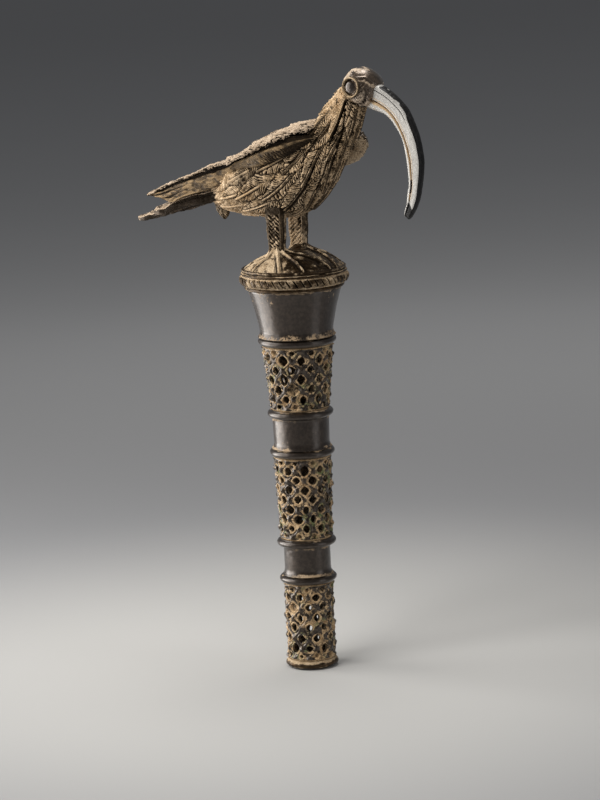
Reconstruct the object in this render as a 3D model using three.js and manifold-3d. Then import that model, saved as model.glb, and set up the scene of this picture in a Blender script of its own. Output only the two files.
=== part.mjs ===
// Ceremonial staff of cast copper alloy: a long-beaked ibis standing on a domed platform, on a hollow shaft of
// three openwork sleeves and two plain bands between half-round mouldings.
// Units are millimetres, +Z runs up the shaft, +X is the way the bird faces, +Y is its left side.
// The origin is on the shaft's axis at the underside of the foot, where a carrying shaft or pin enters the hollow.
// Every element is a closed solid of its own, as it was modelled in wax before casting.
import * as THREE from "three";
import { mergeVertices } from "three/addons/utils/BufferGeometryUtils.js";
import Module from "manifold-3d";

const wasm = await Module();
wasm.setup();

// ---------------------------------------------------------------- driving dimensions
const GAP = 0.3; // between pieces that meet on a curved seat
const SEG = 30; // facets round the shaft
const WALL = 2.6; // wall of the hollow shaft

const FOOT = { z0: 0, z1: 4.5, r: 16.6, neck: 14.9 };
const LATTICE_LOW = { z0: 4.5, z1: 54.4, r0: 14.6, r1: 14.9, cols: 9, rows: 7 };
const RING_1 = { z0: 54.4, z1: 59.4, r: 18.2 };
const BAND_LOW = { z0: 59.4, z1: 78.2, r0: 14.8, r1: 14.8 };
const RING_2 = { z0: 78.2, z1: 83.2, r: 18.8 };
const LATTICE_MID = { z0: 83.2, z1: 136.2, r0: 15.9, r1: 17.6, cols: 10, rows: 8 };
const RING_3 = { z0: 136.2, z1: 141.4, r: 20.5 };
const BAND_HIGH = { z0: 141.4, z1: 161.2, r0: 17.5, r1: 17.9 };
const RING_4 = { z0: 161.2, z1: 166.4, r: 20.9 };
const LATTICE_HIGH = { z0: 166.4, z1: 207.4, r0: 17.9, r1: 21.8, cols: 11, rows: 6 };
const RING_5 = { z0: 207.4, z1: 212.8, r: 24.7 };
const CUP = { z0: 212.8, z1: 243.4, r0: 22.7, r1: 29.3 };
const FILLET_LOW = { z0: 243.4, z1: 245.8, r: 31.4 };
const ROPE = { z0: 245.8, z1: 252.4, r: 34.2 };
const FILLET_HIGH = { z0: 252.4, z1: 254.2, r: 33.7 };
// radius, height of the domed platform's top
const MOUND = [[0, 267], [8, 266.4], [15, 264.3], [22, 260.4], [27, 257.6], [31.3, 255.6], [32.8, 255.1], [32.8, 254.2]];

const LEG = { x: -3.2, y: 12, long: 12.2, wide: 6.6, z0: 268, z1: 293 };
// body: back (x, z), belly (x, z), half-width
const BODY = [
  [-56.5, 306.5, -56.5, 299, 7.0],
  [-52, 313, -53.5, 294.5, 12.0],
  [-40, 318, -42, 290.5, 16.0],
  [-26, 324, -27, 288, 18.5],
  [-10, 330.5, -8, 287.5, 19.8],
  [4, 336.5, 10, 289.7, 20.2],
  [14, 341.5, 23, 297, 19.2],
  [21.5, 346.5, 31.8, 306, 17.0],
  [27, 351.5, 38.4, 316.5, 14.6],
  [32, 357, 44.8, 328, 12.3],
  [37, 362, 50.4, 339, 10.8],
  [42, 367, 55.4, 350, 9.7],
  [45.5, 370, 58.5, 356.5, 8.8],
  [50, 371.5, 62.5, 361.5, 7.4],
];
const HEAD = { x: 57.0, z: 368.7, a: 12.5, b: 11.8, c: 11.8 };
const EYE = { x: 56.2, y: 10.7, z: 369.3, r: 6.35, ball: 4.25, proud: 1.9 };
// beak: outer ridge (x, z), parting line (x, z), inner edge (x, z), half-width
const BEAK = [
  [68.5, 371.0, 62.6, 362.4, 59.6, 357.4, 4.8],
  [76.3, 366.8, 70.8, 358.9, 67.6, 354.3, 4.3],
  [83.3, 361.4, 77.2, 354.8, 74.5, 352.0, 4.0],
  [90.1, 353.9, 82.6, 348.7, 80.1, 346.9, 3.7],
  [96.1, 340.0, 88.2, 337.5, 86.0, 336.8, 3.5],
  [98.7, 326.6, 91.2, 325.9, 88.1, 325.6, 3.4],
  [98.4, 317.5, 91.7, 318.4, 88.8, 318.8, 3.3],
  [96.9, 309.0, 91.8, 310.0, 89.2, 310.6, 3.2],
  [95.2, 301.6, 90.3, 303.0, 87.7, 303.8, 3.0],
  [92.6, 295.6, 89.0, 297.4, 86.9, 298.5, 2.7],
  [90.0, 291.3, 86.9, 293.2, 85.2, 294.2, 2.3],
  [87.8, 288.2, 85.6, 289.7, 84.2, 290.6, 1.7],
];
// wing: x, centre y, centre z, half-thickness, half-height; the right wing's bend is tucked under the neck's plumage,
// the left wing's stands proud of the breast
const WING_REAR = [
  [-25, 19.0, 320.2, 2.6, 6.8],
  [-47, 17.4, 312.2, 2.4, 6.3],
  [-66, 16.6, 306.6, 2.1, 5.2],
  [-80, 16.0, 302.4, 1.9, 4.9],
  [-90, 15.6, 299.9, 1.6, 3.5],
  [-98.5, 15.2, 299.4, 1.1, 1.6],
];
const RIGHT_WING = [
  [27, 15.6, 337.8, 1.0, 2.2],
  [15, 19.8, 333.8, 2.3, 5.8],
  [-3, 20.8, 328.2, 2.7, 7],
  ...WING_REAR,
];
const LEFT_WING = [
  [45.0, 21.4, 332.0, 1.4, 3.2],
  [41.4, 22.0, 331.6, 3.4, 7.2],
  [35, 22.4, 329.8, 4.2, 9.8],
  [27, 22.6, 328.0, 4.2, 10.6],
  [12, 22.4, 327.6, 3.5, 9.4],
  [-5, 21.2, 326.2, 3.0, 8.2],
  ...WING_REAR,
];
// coverts, a slab on the back of each wing: x, inner y, inner z, outer y, outer z, thickness
const COVERTS = [
  [27, 0.4, 348.4, 14.5, 343.8, 2.2],
  [20, 0.4, 346.6, 19.5, 342.4, 2.8],
  [14, 0.4, 345.0, 22.5, 340.0, 2.9],
  [7, 0.4, 343.4, 24.4, 337.9, 3.0],
  [0, 0.4, 341.2, 25.0, 334.2, 3.0],
  [-10, 0.4, 337.4, 24.6, 331.2, 3.0],
  [-16, 0.4, 334.6, 24.0, 328.3, 3.0],
  [-27, 0.4, 328.0, 22.4, 324.2, 2.8],
  [-33, 0.6, 325.2, 21.6, 322.4, 2.7],
  [-44, 1.4, 320.6, 20.4, 319.8, 2.6],
  [-54, 2.6, 317.0, 19.5, 316.8, 2.2],
  [-62.6, 4.2, 313.6, 18.9, 313.6, 2.1],
  [-71, 6.2, 310.6, 18.4, 310.9, 2.0],
  [-79.4, 8.2, 307.6, 18.0, 308.0, 2.0],
  [-88, 10, 304.4, 17.5, 304.6, 2.1],
  [-95.5, 12, 301.8, 16.9, 301.9, 2.0],
  [-99.6, 13.4, 300.2, 16.2, 300.4, 1.4],
];
// tail feathers: x, y, top z, half-width, droop at the edges, thickness
const TAIL_MIDDLE = [
  [-44, 0, 310.0, 9.0, 3.0, 4.0],
  [-62, 0, 304.2, 8.6, 3.4, 3.6],
  [-80, 0, 298.0, 8.0, 3.4, 3.4],
  [-98, 0, 290.9, 7.2, 2.8, 3.4],
  [-108, 0, 287.2, 6.2, 1.8, 3.4],
  [-115, 0, 285.0, 4.6, 0.9, 3.2],
  [-119.5, 0, 283.8, 2.4, 0.4, 2.2],
];
const TAIL_SIDE = [
  [-44, 8.5, 308.7, 4.4, 2.1, 9.0],
  [-55, 8.9, 305.4, 4.5, 2.0, 9.3],
  [-64, 9.3, 303.3, 4.6, 1.8, 9.2],
  [-72, 9.6, 300.5, 4.6, 1.7, 8.5],
  [-80, 9.8, 297.4, 4.5, 1.5, 7.9],
  [-88, 9.9, 293.8, 4.3, 1.3, 7.1],
  [-95, 10, 291.2, 3.9, 1.1, 6.2],
  [-100, 10, 289.0, 3.0, 0.9, 4.8],
  [-102.8, 10, 287.8, 1.6, 0.5, 3.2],
];
const TOES = [-54, -20, 14]; // directions of the right foot's front toes, degrees from +X
const HIND_TOE = 196;

// ---------------------------------------------------------------- helpers
const solidOf = (g) => {
  const bare = new THREE.BufferGeometry().setAttribute("position", g.getAttribute("position").clone());
  if (g.index) bare.setIndex(g.index.clone());
  const m = mergeVertices(bare, 1e-4);
  const source = m.index.array;
  const kept = [];
  for (let i = 0; i < source.length; i += 3) {
    const [a, b, c] = [source[i], source[i + 1], source[i + 2]];
    if (a !== b && b !== c && a !== c) kept.push(a, b, c);
  }
  const build = (tri) => new wasm.Manifold(new wasm.Mesh({ numProp: 3, vertProperties: m.attributes.position.array, triVerts: new Uint32Array(tri) }));
  const made = build(kept);
  if (made.volume() > 0) return made;
  const flipped = [];
  for (let i = 0; i < kept.length; i += 3) flipped.push(kept[i], kept[i + 2], kept[i + 1]);
  return build(flipped);
};

const geometryOf = (s) => {
  const m = s.getMesh();
  const v = new Float32Array(m.numVert * 3);
  for (let i = 0; i < m.numVert; i++) v.set(m.vertProperties.subarray(i * m.numProp, i * m.numProp + 3), i * 3);
  const g = new THREE.BufferGeometry().setAttribute("position", new THREE.BufferAttribute(v, 3));
  g.setIndex(new THREE.BufferAttribute(new Uint32Array(m.triVerts), 1));
  g.computeVertexNormals();
  return g;
};

// keeps the largest body when a cut leaves crumbs
const largest = (s) => {
  const parts = s.decompose();
  return parts.length < 2 ? s : parts.sort((a, b) => b.volume() - a.volume())[0];
};

const lathe = (profile, closed = true, seg = SEG) => {
  const pts = profile.map(([r, z]) => new THREE.Vector2(r, z));
  if (closed) pts.push(pts[0].clone());
  return solidOf(new THREE.LatheGeometry(pts, seg).rotateX(Math.PI / 2));
};

// sections: arrays of equally many Vector3; the ends are capped with fans
const loft = (sections) => {
  const n = sections[0].length;
  const pos = [], idx = [];
  sections.forEach((s) => s.forEach((p) => pos.push(p.x, p.y, p.z)));
  for (let i = 0; i + 1 < sections.length; i++)
    for (let j = 0; j < n; j++) {
      const a = i * n + j, b = i * n + ((j + 1) % n), c = a + n, d = b + n;
      idx.push(a, b, c, b, d, c);
    }
  const cap = (k, turn) => {
    const mid = sections[k].reduce((t, p) => t.add(p), new THREE.Vector3()).multiplyScalar(1 / n);
    const at = pos.length / 3;
    pos.push(mid.x, mid.y, mid.z);
    for (let j = 0; j < n; j++) {
      const a = k * n + j, b = k * n + ((j + 1) % n);
      turn ? idx.push(at, a, b) : idx.push(at, b, a);
    }
  };
  cap(0, false);
  cap(sections.length - 1, true);
  const g = new THREE.BufferGeometry().setAttribute("position", new THREE.Float32BufferAttribute(pos, 3));
  g.setIndex(idx);
  return solidOf(g);
};

const mirrorY = (s) => s.mirror([0, 1, 0]);
const MATERIALS = {
  plain: new THREE.MeshStandardMaterial({ color: 0x3a332c, roughness: 0.38, metalness: 0.9 }),
  cast: new THREE.MeshStandardMaterial({ color: 0x6b563a, roughness: 0.62, metalness: 0.6 }),
  beak: new THREE.MeshStandardMaterial({ color: 0xb9b4a8, roughness: 0.45, metalness: 0.5 }),
};
const staff = new THREE.Group();
const shaft = new THREE.Group();
const bird = new THREE.Group();
staff.add(shaft, bird);
const add = (group, name, solid, material) => {
  const mesh = new THREE.Mesh(geometryOf(solid), MATERIALS[material]);
  mesh.name = name;
  group.add(mesh);
  return mesh;
};

// ---------------------------------------------------------------- shaft
const bore = (r) => r - WALL;

// half-round moulding between two necks
const moulding = ({ z0, z1, r }, below, above) => {
  const h = z1 - z0, mid = (z0 + z1) / 2, round = h * 0.42;
  const p = [[bore(below), z0], [below + 0.6, z0]];
  for (let i = 0; i <= 4; i++) {
    const a = -Math.PI / 2 + (Math.PI * i) / 4;
    p.push([r - round + round * Math.cos(a), mid + round * Math.sin(a)]);
  }
  p.push([above + 0.6, z1], [bore(above), z1]);
  return lathe(p);
};

// plain band with hollow-curved feet against its mouldings
const band = ({ z0, z1, r0, r1 }) => {
  const n = 2, out = [];
  for (let i = 0; i <= n; i++) {
    const t = i / n;
    out.push([r0 + (r1 - r0) * t, z0 + 2.2 + (z1 - z0 - 3.4) * t]);
  }
  return lathe([[bore(r0), z0], [r0 + 0.9, z0], ...out, [r1 + 0.4, z1], [bore(r1), z1]]);
};

// openwork sleeve: a net of diamond holes between two plain edges
const openwork = ({ z0, z1, r0, r1, cols, rows }) => {
  const EDGE = 2.2, OPEN = 0.44;
  const pos = [], idx = [];
  const lines = [z0 + EDGE];
  for (let j = 1; j <= rows; j++) lines.push(z0 + EDGE + ((z1 - z0 - 2 * EDGE) * j) / rows);
  const radius = (z) => r0 + ((r1 - r0) * (z - z0)) / (z1 - z0);
  const put = (k, z, inner) => {
    const a = (Math.PI * k) / cols, r = radius(z) - (inner ? WALL : 0);
    pos.push(r * Math.cos(a), r * Math.sin(a), z);
    return pos.length / 3 - 1;
  };
  const cache = new Map();
  const at = (k, j, inner) => {
    const key = `${((k % (2 * cols)) + 2 * cols) % (2 * cols)},${j},${inner}`;
    if (!cache.has(key)) cache.set(key, put(k, j < 0 ? z0 : j > rows ? z1 : lines[j], inner));
    return cache.get(key);
  };
  const quad = (a, b, c, d) => idx.push(a, b, c, a, c, d);
  // corners: [k, j] counter-clockwise seen from outside
  const web = (corners) => {
    const o = corners.map(([k, j]) => at(k, j, false)), i = corners.map(([k, j]) => at(k, j, true));
    const s = corners[1][1] === corners[0][1] ? 1 : 0; // split at the corner on the plain edge
    idx.push(o[s], o[s + 1], o[(s + 2) % 4], o[s], o[(s + 2) % 4], o[(s + 3) % 4]);
    idx.push(i[s + 1], i[s], i[(s + 2) % 4], i[(s + 2) % 4], i[s], i[(s + 3) % 4]);
  };
  const cell = (corners) => {
    const mk = corners.reduce((s, c) => s + c[0], 0) / corners.length;
    const mz = corners.reduce((s, c) => s + lines[c[1]], 0) / corners.length;
    const rim = corners.map(([k, j]) => [mk + (k - mk) * OPEN, mz + (lines[j] - mz) * OPEN]);
    const o = corners.map(([k, j]) => at(k, j, false)), i = corners.map(([k, j]) => at(k, j, true));
    const ho = rim.map(([k, z]) => put(k, z, false)), hi = rim.map(([k, z]) => put(k, z, true));
    for (let n = 0; n < corners.length; n++) {
      const m = (n + 1) % corners.length;
      quad(o[n], o[m], ho[m], ho[n]);
      quad(i[m], i[n], hi[n], hi[m]);
      quad(ho[n], ho[m], hi[m], hi[n]);
    }
  };
  for (let k = 0; k < 2 * cols; k++) {
    for (const [lo, hi] of [[-1, 0], [rows, rows + 1]]) {
      quad(at(k, lo, false), at(k + 1, lo, false), at(k + 1, hi, false), at(k, hi, false));
      quad(at(k + 1, lo, true), at(k, lo, true), at(k, hi, true), at(k + 1, hi, true));
    }
    quad(at(k + 1, -1, false), at(k, -1, false), at(k, -1, true), at(k + 1, -1, true));
    quad(at(k, rows + 1, false), at(k + 1, rows + 1, false), at(k + 1, rows + 1, true), at(k, rows + 1, true));
    for (let j = 0; j <= rows; j++) {
      if ((k + j) % 2) continue;
      if (j === 0) web([[k - 1, 0], [k, 0], [k + 1, 0], [k, 1]]);
      else if (j === rows) web([[k - 1, rows], [k, rows - 1], [k + 1, rows], [k, rows]]);
      else cell([[k - 1, j], [k, j - 1], [k + 1, j], [k, j + 1]]);
    }
  }
  const g = new THREE.BufferGeometry().setAttribute("position", new THREE.Float32BufferAttribute(pos, 3));
  g.setIndex(idx);
  return solidOf(g);
};

add(shaft, "foot_flange", lathe([
  [bore(FOOT.neck), FOOT.z0], [FOOT.r - 1.1, FOOT.z0], [FOOT.r - 0.2, 0.7], [FOOT.r, 1.7], [FOOT.r - 0.3, 2.6],
  [FOOT.r - 1.0, 3.3], [FOOT.neck + 0.1, FOOT.z1], [bore(FOOT.neck), FOOT.z1]]), "cast");
add(shaft, "lower_openwork_sleeve", openwork(LATTICE_LOW), "cast");
add(shaft, "ring_below_lower_band", moulding(RING_1, LATTICE_LOW.r1, BAND_LOW.r0), "plain");
add(shaft, "lower_plain_band", band(BAND_LOW), "plain");
add(shaft, "ring_above_lower_band", moulding(RING_2, BAND_LOW.r1, LATTICE_MID.r0), "plain");
add(shaft, "middle_openwork_sleeve", openwork(LATTICE_MID), "cast");
add(shaft, "ring_below_upper_band", moulding(RING_3, LATTICE_MID.r1, BAND_HIGH.r0), "plain");
add(shaft, "upper_plain_band", band(BAND_HIGH), "plain");
add(shaft, "ring_above_upper_band", moulding(RING_4, BAND_HIGH.r1, LATTICE_HIGH.r0), "plain");
add(shaft, "upper_openwork_sleeve", openwork(LATTICE_HIGH), "cast");
add(shaft, "ring_below_cup", moulding(RING_5, LATTICE_HIGH.r1, CUP.r0), "plain");
add(shaft, "flared_cup", lathe([
  [bore(CUP.r0), CUP.z0], [CUP.r0 + 1.1, CUP.z0], [CUP.r0 + 0.4, CUP.z0 + 1.4], [CUP.r0 + 0.1, CUP.z0 + 3.4],
  [CUP.r0 + 3.1, CUP.z0 + 17], [CUP.r1, CUP.z1], [CUP.r1 - WALL, CUP.z1], [CUP.r0 + 3.1 - WALL, CUP.z0 + 17],
  [CUP.r0 + 0.1 - WALL, CUP.z0 + 3.4]]), "plain");
add(shaft, "cup_lower_fillet", lathe([
  [CUP.r1 - WALL, FILLET_LOW.z0], [FILLET_LOW.r - 1.0, FILLET_LOW.z0], [FILLET_LOW.r, FILLET_LOW.z0 + 0.9],
  [FILLET_LOW.r, FILLET_LOW.z0 + 1.6], [FILLET_LOW.r - 0.3, FILLET_LOW.z1], [CUP.r1 - WALL, FILLET_LOW.z1]]), "cast");
add(shaft, "rope_border", lathe([
  [CUP.r1 - WALL, ROPE.z0], [ROPE.r - 2.6, ROPE.z0], [ROPE.r - 1.0, ROPE.z0 + 0.9], [ROPE.r - 0.1, ROPE.z0 + 2.2],
  [ROPE.r, ROPE.z0 + 3.4], [ROPE.r - 0.4, ROPE.z0 + 4.8], [ROPE.r - 1.3, ROPE.z0 + 6.0], [ROPE.r - 2.2, ROPE.z1],
  [CUP.r1 - WALL + 0.6, ROPE.z1]]), "cast");
add(shaft, "cup_upper_fillet", lathe([
  [CUP.r1 - WALL + 0.6, FILLET_HIGH.z0], [FILLET_HIGH.r - 0.9, FILLET_HIGH.z0], [FILLET_HIGH.r, FILLET_HIGH.z0 + 0.6],
  [FILLET_HIGH.r - 0.2, FILLET_HIGH.z0 + 1.3], [FILLET_HIGH.r - 1.2, FILLET_HIGH.z1], [CUP.r1 - WALL + 0.6, FILLET_HIGH.z1]]), "cast");

// domed platform: a shell of even wall over the cup's hollow; grow thickens it outwards for seat cuts
const mound = (grow = 0) => lathe(grow
  ? [...MOUND.map(([r, z]) => [r, z + grow]), [MOUND[7][0], 250], [0, 250]]
  : [...MOUND, [CUP.r1 - WALL + 0.6, MOUND[7][1]], [24, 256.2], [18, 259.8], [10, 263], [0, 263.8]], false);
add(shaft, "platform_mound", mound(), "cast");

const moundZ = (r) => {
  for (let i = 0; i + 1 < 6; i++) {
    const [a, za] = MOUND[i], [b, zb] = MOUND[i + 1];
    if (r <= b) return za + ((zb - za) * (r - a)) / (b - a);
  }
  return MOUND[5][1];
};

// ---------------------------------------------------------------- legs and feet
const ringXY = (c, side, up, h, w, n = 6) => {
  const out = [];
  for (let j = 0; j < n; j++) {
    const a = (2 * Math.PI * j) / n;
    out.push(c.clone().addScaledVector(side, w * Math.cos(a)).addScaledVector(up, h * Math.sin(a)));
  }
  return out;
};

// a toe from the ankle down the mound to its rim
const toe = (x0, y0, deg, wide, reach) => {
  const a = (deg * Math.PI) / 180, dir = new THREE.Vector3(Math.cos(a), Math.sin(a), 0);
  const side = new THREE.Vector3(-dir.y, dir.x, 0);
  // distance to the rim circle along dir
  const b = x0 * dir.x + y0 * dir.y;
  const far = -b + Math.sqrt(b * b - (x0 * x0 + y0 * y0 - reach * reach));
  const rings = [];
  for (let i = 0; i <= 4; i++) {
    const t = i / 4, d = far * t, x = x0 + dir.x * d, y = y0 + dir.y * d;
    const z = moundZ(Math.hypot(x, y)) + 0.6 + 1.2 * (1 - t);
    const w = wide * (i === 4 ? 0.55 : 1 - 0.35 * t);
    rings.push(ringXY(new THREE.Vector3(x, y, z), side, new THREE.Vector3(0, 0, 1), i === 4 ? 1.0 : 1.9 - 0.3 * t, w));
  }
  return loft(rings);
};

const ankle = (x, y) => {
  const rings = [[-9, 1.35], [-4, 1.28], [-1.5, 1.1], [0, 1.0]].map(([dz, k]) => {
    const out = [];
    for (let j = 0; j < 10; j++) {
      const a = (2 * Math.PI * j) / 10;
      out.push(new THREE.Vector3(x + (LEG.long / 2 + 0.2) * k * Math.cos(a), y + (LEG.wide / 2 + 0.4) * k * Math.sin(a), LEG.z0 + dz));
    }
    return out;
  });
  return loft(rings);
};

const rightFoot = () => {
  let s = ankle(LEG.x, -LEG.y);
  for (const d of TOES) s = s.add(toe(LEG.x + 2, -LEG.y, d, 2.0, 31.6));
  s = s.add(toe(LEG.x - 2, -LEG.y, HIND_TOE, 1.7, 27));
  s = s.subtract(mound(GAP));
  // the two feet stay clear of each other
  const half = solidOf(new THREE.BoxGeometry(120, 60, 60).translate(0, 30 - 0.6, 262));
  return largest(s.subtract(half).subtract(legSolid(-LEG.y, GAP)));
};
// leg: raised edges fore and aft with a sunk panel on both sides
const legSolid = (y, grow = 0) => {
  const a = LEG.long / 2 + grow, b = LEG.wide / 2 + grow, d = grow ? 0 : 0.8;
  const s = new THREE.Shape();
  const pts = [[-a, -b + 0.8], [-a + 0.8, -b], [-a + 1.9, -b], [-a + 2.2, -b + d], [a - 3.0, -b + d], [a - 2.6, -b],
    [a - 0.8, -b], [a, -b + 0.8], [a, b - 0.8], [a - 0.8, b], [a - 2.6, b], [a - 3.0, b - d], [-a + 2.2, b - d],
    [-a + 1.9, b], [-a + 0.8, b], [-a, b - 0.8]];
  pts.forEach(([x, v], i) => (i ? s.lineTo(x, v) : s.moveTo(x, v)));
  s.closePath();
  const g = new THREE.ExtrudeGeometry(s, { depth: LEG.z1 - LEG.z0 + grow, bevelEnabled: false, steps: 1 });
  return solidOf(g.translate(LEG.x, y, LEG.z0));
};
const foot = rightFoot();
add(bird, "right_foot", foot, "cast");
add(bird, "left_foot", mirrorY(foot), "cast");
add(bird, "right_leg", legSolid(-LEG.y), "cast");
add(bird, "left_leg", legSolid(LEG.y), "cast");

// ---------------------------------------------------------------- body, plumage, head
const bodyRings = (from, to, grow, lateral = grow, n = 20) => {
  const rings = [];
  for (let i = from; i <= to; i++) {
    const [tx, tz, bx, bz, w] = BODY[i];
    const top = new THREE.Vector3(tx, 0, tz), bottom = new THREE.Vector3(bx, 0, bz);
    const c = top.clone().add(bottom).multiplyScalar(0.5);
    const up = top.clone().sub(bottom).multiplyScalar(0.5);
    up.setLength(up.length() + grow);
    const ring = [];
    for (let j = 0; j < n; j++) {
      const a = (2 * Math.PI * (j + 0.5)) / n;
      ring.push(c.clone().addScaledVector(up, Math.sin(a)).add(new THREE.Vector3(0, (w + lateral) * Math.cos(a), 0)));
    }
    rings.push(ring);
  }
  return rings;
};
const last = BODY.length - 1;
const wingSolid = (side, grow = 0) => loft((side < 0 ? RIGHT_WING : LEFT_WING).map(([x, y, z, t, h]) => {
  const out = [];
  for (let j = 0; j < 10; j++) {
    const a = (2 * Math.PI * j) / 10;
    out.push(new THREE.Vector3(x, side * (y + (t + grow) * Math.cos(a)), z + (h + grow) * Math.sin(a)));
  }
  return out;
}));
const covertSolid = (side, grow = 0) => loft(COVERTS.map(([x0, yi, zi, yo, zo, t], i) => {
  const x = x0 + (i === 0 ? 2 * grow : 0);
  const half = t / 2 + grow, n = 4, out = [];
  const at = (j, up) => {
    const y = yi - grow + ((yo - yi + 2 * grow) * j) / n, q = (y - yi) / (yo - yi);
    return new THREE.Vector3(x, side * y, zi + (zo - zi) * q * Math.abs(q) + up * (half - (j === n ? t / 4 : 0)));
  };
  for (let j = 0; j <= n; j++) out.push(at(j, 1));
  for (let j = n; j >= 0; j--) out.push(at(j, -1));
  return out;
}));
const feather = (rows, side, grow = 0) => loft(rows.map(([x, y, z, w, droop, t]) => {
  const n = 4, out = [], wg = w + grow, tg = t + grow;
  const at = (s) => new THREE.Vector3(x, side * (y + wg * s), z - droop * ((s * wg) / w) ** 2);
  for (let j = 0; j <= n; j++) out.push(at(-1 + (2 * j) / n).add(new THREE.Vector3(0, 0, grow)));
  for (let j = n; j >= 0; j--) out.push(at(-1 + (2 * j) / n).add(new THREE.Vector3(0, 0, -tg)));
  return out;
}));

const rightWing = wingSolid(-1), leftWing = wingSolid(1);
const rightWingSeat = wingSolid(-1, GAP), leftWingSeat = wingSolid(1, GAP);
const rightCovertsSeat = covertSolid(-1, GAP), leftCovertsSeat = covertSolid(1, GAP);
const legSeats = legSolid(-LEG.y, GAP).add(legSolid(LEG.y, GAP));
const tailSeat = feather(TAIL_MIDDLE, 1, 2 * GAP).add(feather(TAIL_SIDE, 1, 3 * GAP)).add(feather(TAIL_SIDE, -1, 3 * GAP));

const headSolid = (grow = 0) => {
  const g = new THREE.SphereGeometry(1, 18, 12).rotateX(Math.PI / 2);
  g.scale(HEAD.a + grow, HEAD.b + grow, HEAD.c + grow).translate(HEAD.x, 0, HEAD.z);
  return solidOf(g);
};
const eyeBlank = (side, r, from, to, n = 16) => {
  const g = new THREE.CylinderGeometry(r, r, to - from, n).translate(0, side * (from + to) / 2, 0);
  return solidOf(g.translate(EYE.x, 0, EYE.z));
};

// core of the body with its neck; the plumage shells sit on its flanks
let core = loft(bodyRings(0, last, -2.2, -2.4));
const plumage = (side) => {
  let shell = loft(bodyRings(1, last - 1, 0.2)).subtract(loft(bodyRings(0, last, -2.2 + GAP, -2.4 + GAP)));
  const keep = solidOf(new THREE.BoxGeometry(160, 60, 140).translate(0, side * (30 + 0.4), 330));
  shell = shell.intersect(keep);
  shell = shell.subtract(side < 0 ? rightWingSeat : leftWingSeat).subtract(side < 0 ? rightCovertsSeat : leftCovertsSeat);
  return largest(shell.subtract(legSeats).subtract(tailSeat).subtract(headSolid(GAP)));
};
core = largest(core.subtract(legSeats).subtract(tailSeat).subtract(headSolid(GAP)).subtract(rightWingSeat).subtract(leftWingSeat)
  .subtract(rightCovertsSeat).subtract(leftCovertsSeat));
add(bird, "body", core, "cast");
add(bird, "right_plumage", plumage(-1), "cast");
add(bird, "left_plumage", plumage(1), "cast");

// wings and their coverts
add(bird, "right_wing", largest(rightWing.subtract(rightCovertsSeat)), "cast");
add(bird, "left_wing", largest(leftWing.subtract(leftCovertsSeat)), "cast");
add(bird, "right_wing_coverts", covertSolid(-1), "cast");
add(bird, "left_wing_coverts", covertSolid(1), "cast");

// tail
const middle = feather(TAIL_MIDDLE, 1).subtract(feather(TAIL_SIDE, 1, GAP)).subtract(feather(TAIL_SIDE, -1, GAP));
const clearOfWings = (s) => s.subtract(rightWingSeat).subtract(leftWingSeat);
add(bird, "middle_tail_feather", largest(clearOfWings(middle)), "cast");
add(bird, "right_tail_feather", largest(clearOfWings(feather(TAIL_SIDE, -1))), "cast");
add(bird, "left_tail_feather", largest(clearOfWings(feather(TAIL_SIDE, 1))), "cast");
const lobe = loft([[-1, 2.4, 296], [-0.4, 2.6, 291.6], [0.4, 2.8, 288], [1.2, 2.0, 286], [1.6, 0.7, 284.8]].map(([dx, w, z], i) => {
  const out = [];
  for (let j = 0; j < 8; j++) {
    const a = (2 * Math.PI * j) / 8;
    out.push(new THREE.Vector3(-53.4 + dx + (4.8 * (i === 4 ? 0.3 : 1)) * Math.cos(a), w * Math.sin(a), z));
  }
  return out;
}));
add(bird, "undertail_covert", largest(lobe.subtract(loft(bodyRings(0, last, 0.5))).subtract(tailSeat)), "cast");

// beak in two halves, parted along their length
const beakRings = (p, q, grow, squeeze) => BEAK.map((b, i) => {
  const a = new THREE.Vector3(b[p], 0, b[p + 1]), c = new THREE.Vector3(b[q], 0, b[q + 1]);
  const dir = a.clone().sub(c).normalize();
  const hi = a.clone().addScaledVector(dir, grow), lo = c.clone().addScaledVector(dir, squeeze - grow), w = b[6] + grow;
  return [[hi, -0.62], [hi, 0.62], [hi.clone().lerp(lo, 0.22), 1], [lo.clone().lerp(hi, 0.22), 1], [lo, 0.62], [lo, -0.62],
    [lo.clone().lerp(hi, 0.22), -1], [hi.clone().lerp(lo, 0.22), -1]]
    .map(([v, y]) => new THREE.Vector3(v.x, y * w, v.z));
});
const rooted = (rings, grow = 0) => {
  // a tenon carries the beak's root into the head
  const first = rings[0].map((v) => v.clone().add(new THREE.Vector3(-4.6 - grow, 0, 2.6)));
  return loft([first, ...rings]);
};
const upperBeak = rooted(beakRings(0, 2, 0, GAP / 2));
const lowerBeak = rooted(beakRings(2, 4, 0, 0));
const parting = rooted(beakRings(0, 2, GAP, 0), GAP);
const beakSeat = parting.add(rooted(beakRings(2, 4, GAP, 0), GAP));

let head = headSolid();
for (const side of [-1, 1]) head = head.subtract(eyeBlank(side, EYE.r + GAP, EYE.y - 2.2, EYE.y + 6));
head = largest(head.subtract(beakSeat));
add(bird, "head", head, "plain");
add(bird, "upper_beak", upperBeak, "beak");
add(bird, "lower_beak", largest(lowerBeak.subtract(parting)), "beak");
for (const [name, side] of [["right", -1], ["left", 1]]) {
  const rim = eyeBlank(side, EYE.r, EYE.y - 1.9, EYE.y + EYE.proud).subtract(eyeBlank(side, EYE.ball + GAP, EYE.y - 3, EYE.y + 6));
  add(bird, `${name}_eye_rim`, rim, "cast");
  const r = EYE.ball, ball = new THREE.SphereGeometry(1, 12, 8).scale(r, 3.4, r).translate(EYE.x, side * (EYE.y - 1.2), EYE.z);
  const cut = solidOf(new THREE.BoxGeometry(30, 20, 30).translate(EYE.x, side * (EYE.y - 1.9 - 10), EYE.z));
  add(bird, `${name}_eye`, solidOf(ball).subtract(cut), "plain");
}

export default staff;
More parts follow.
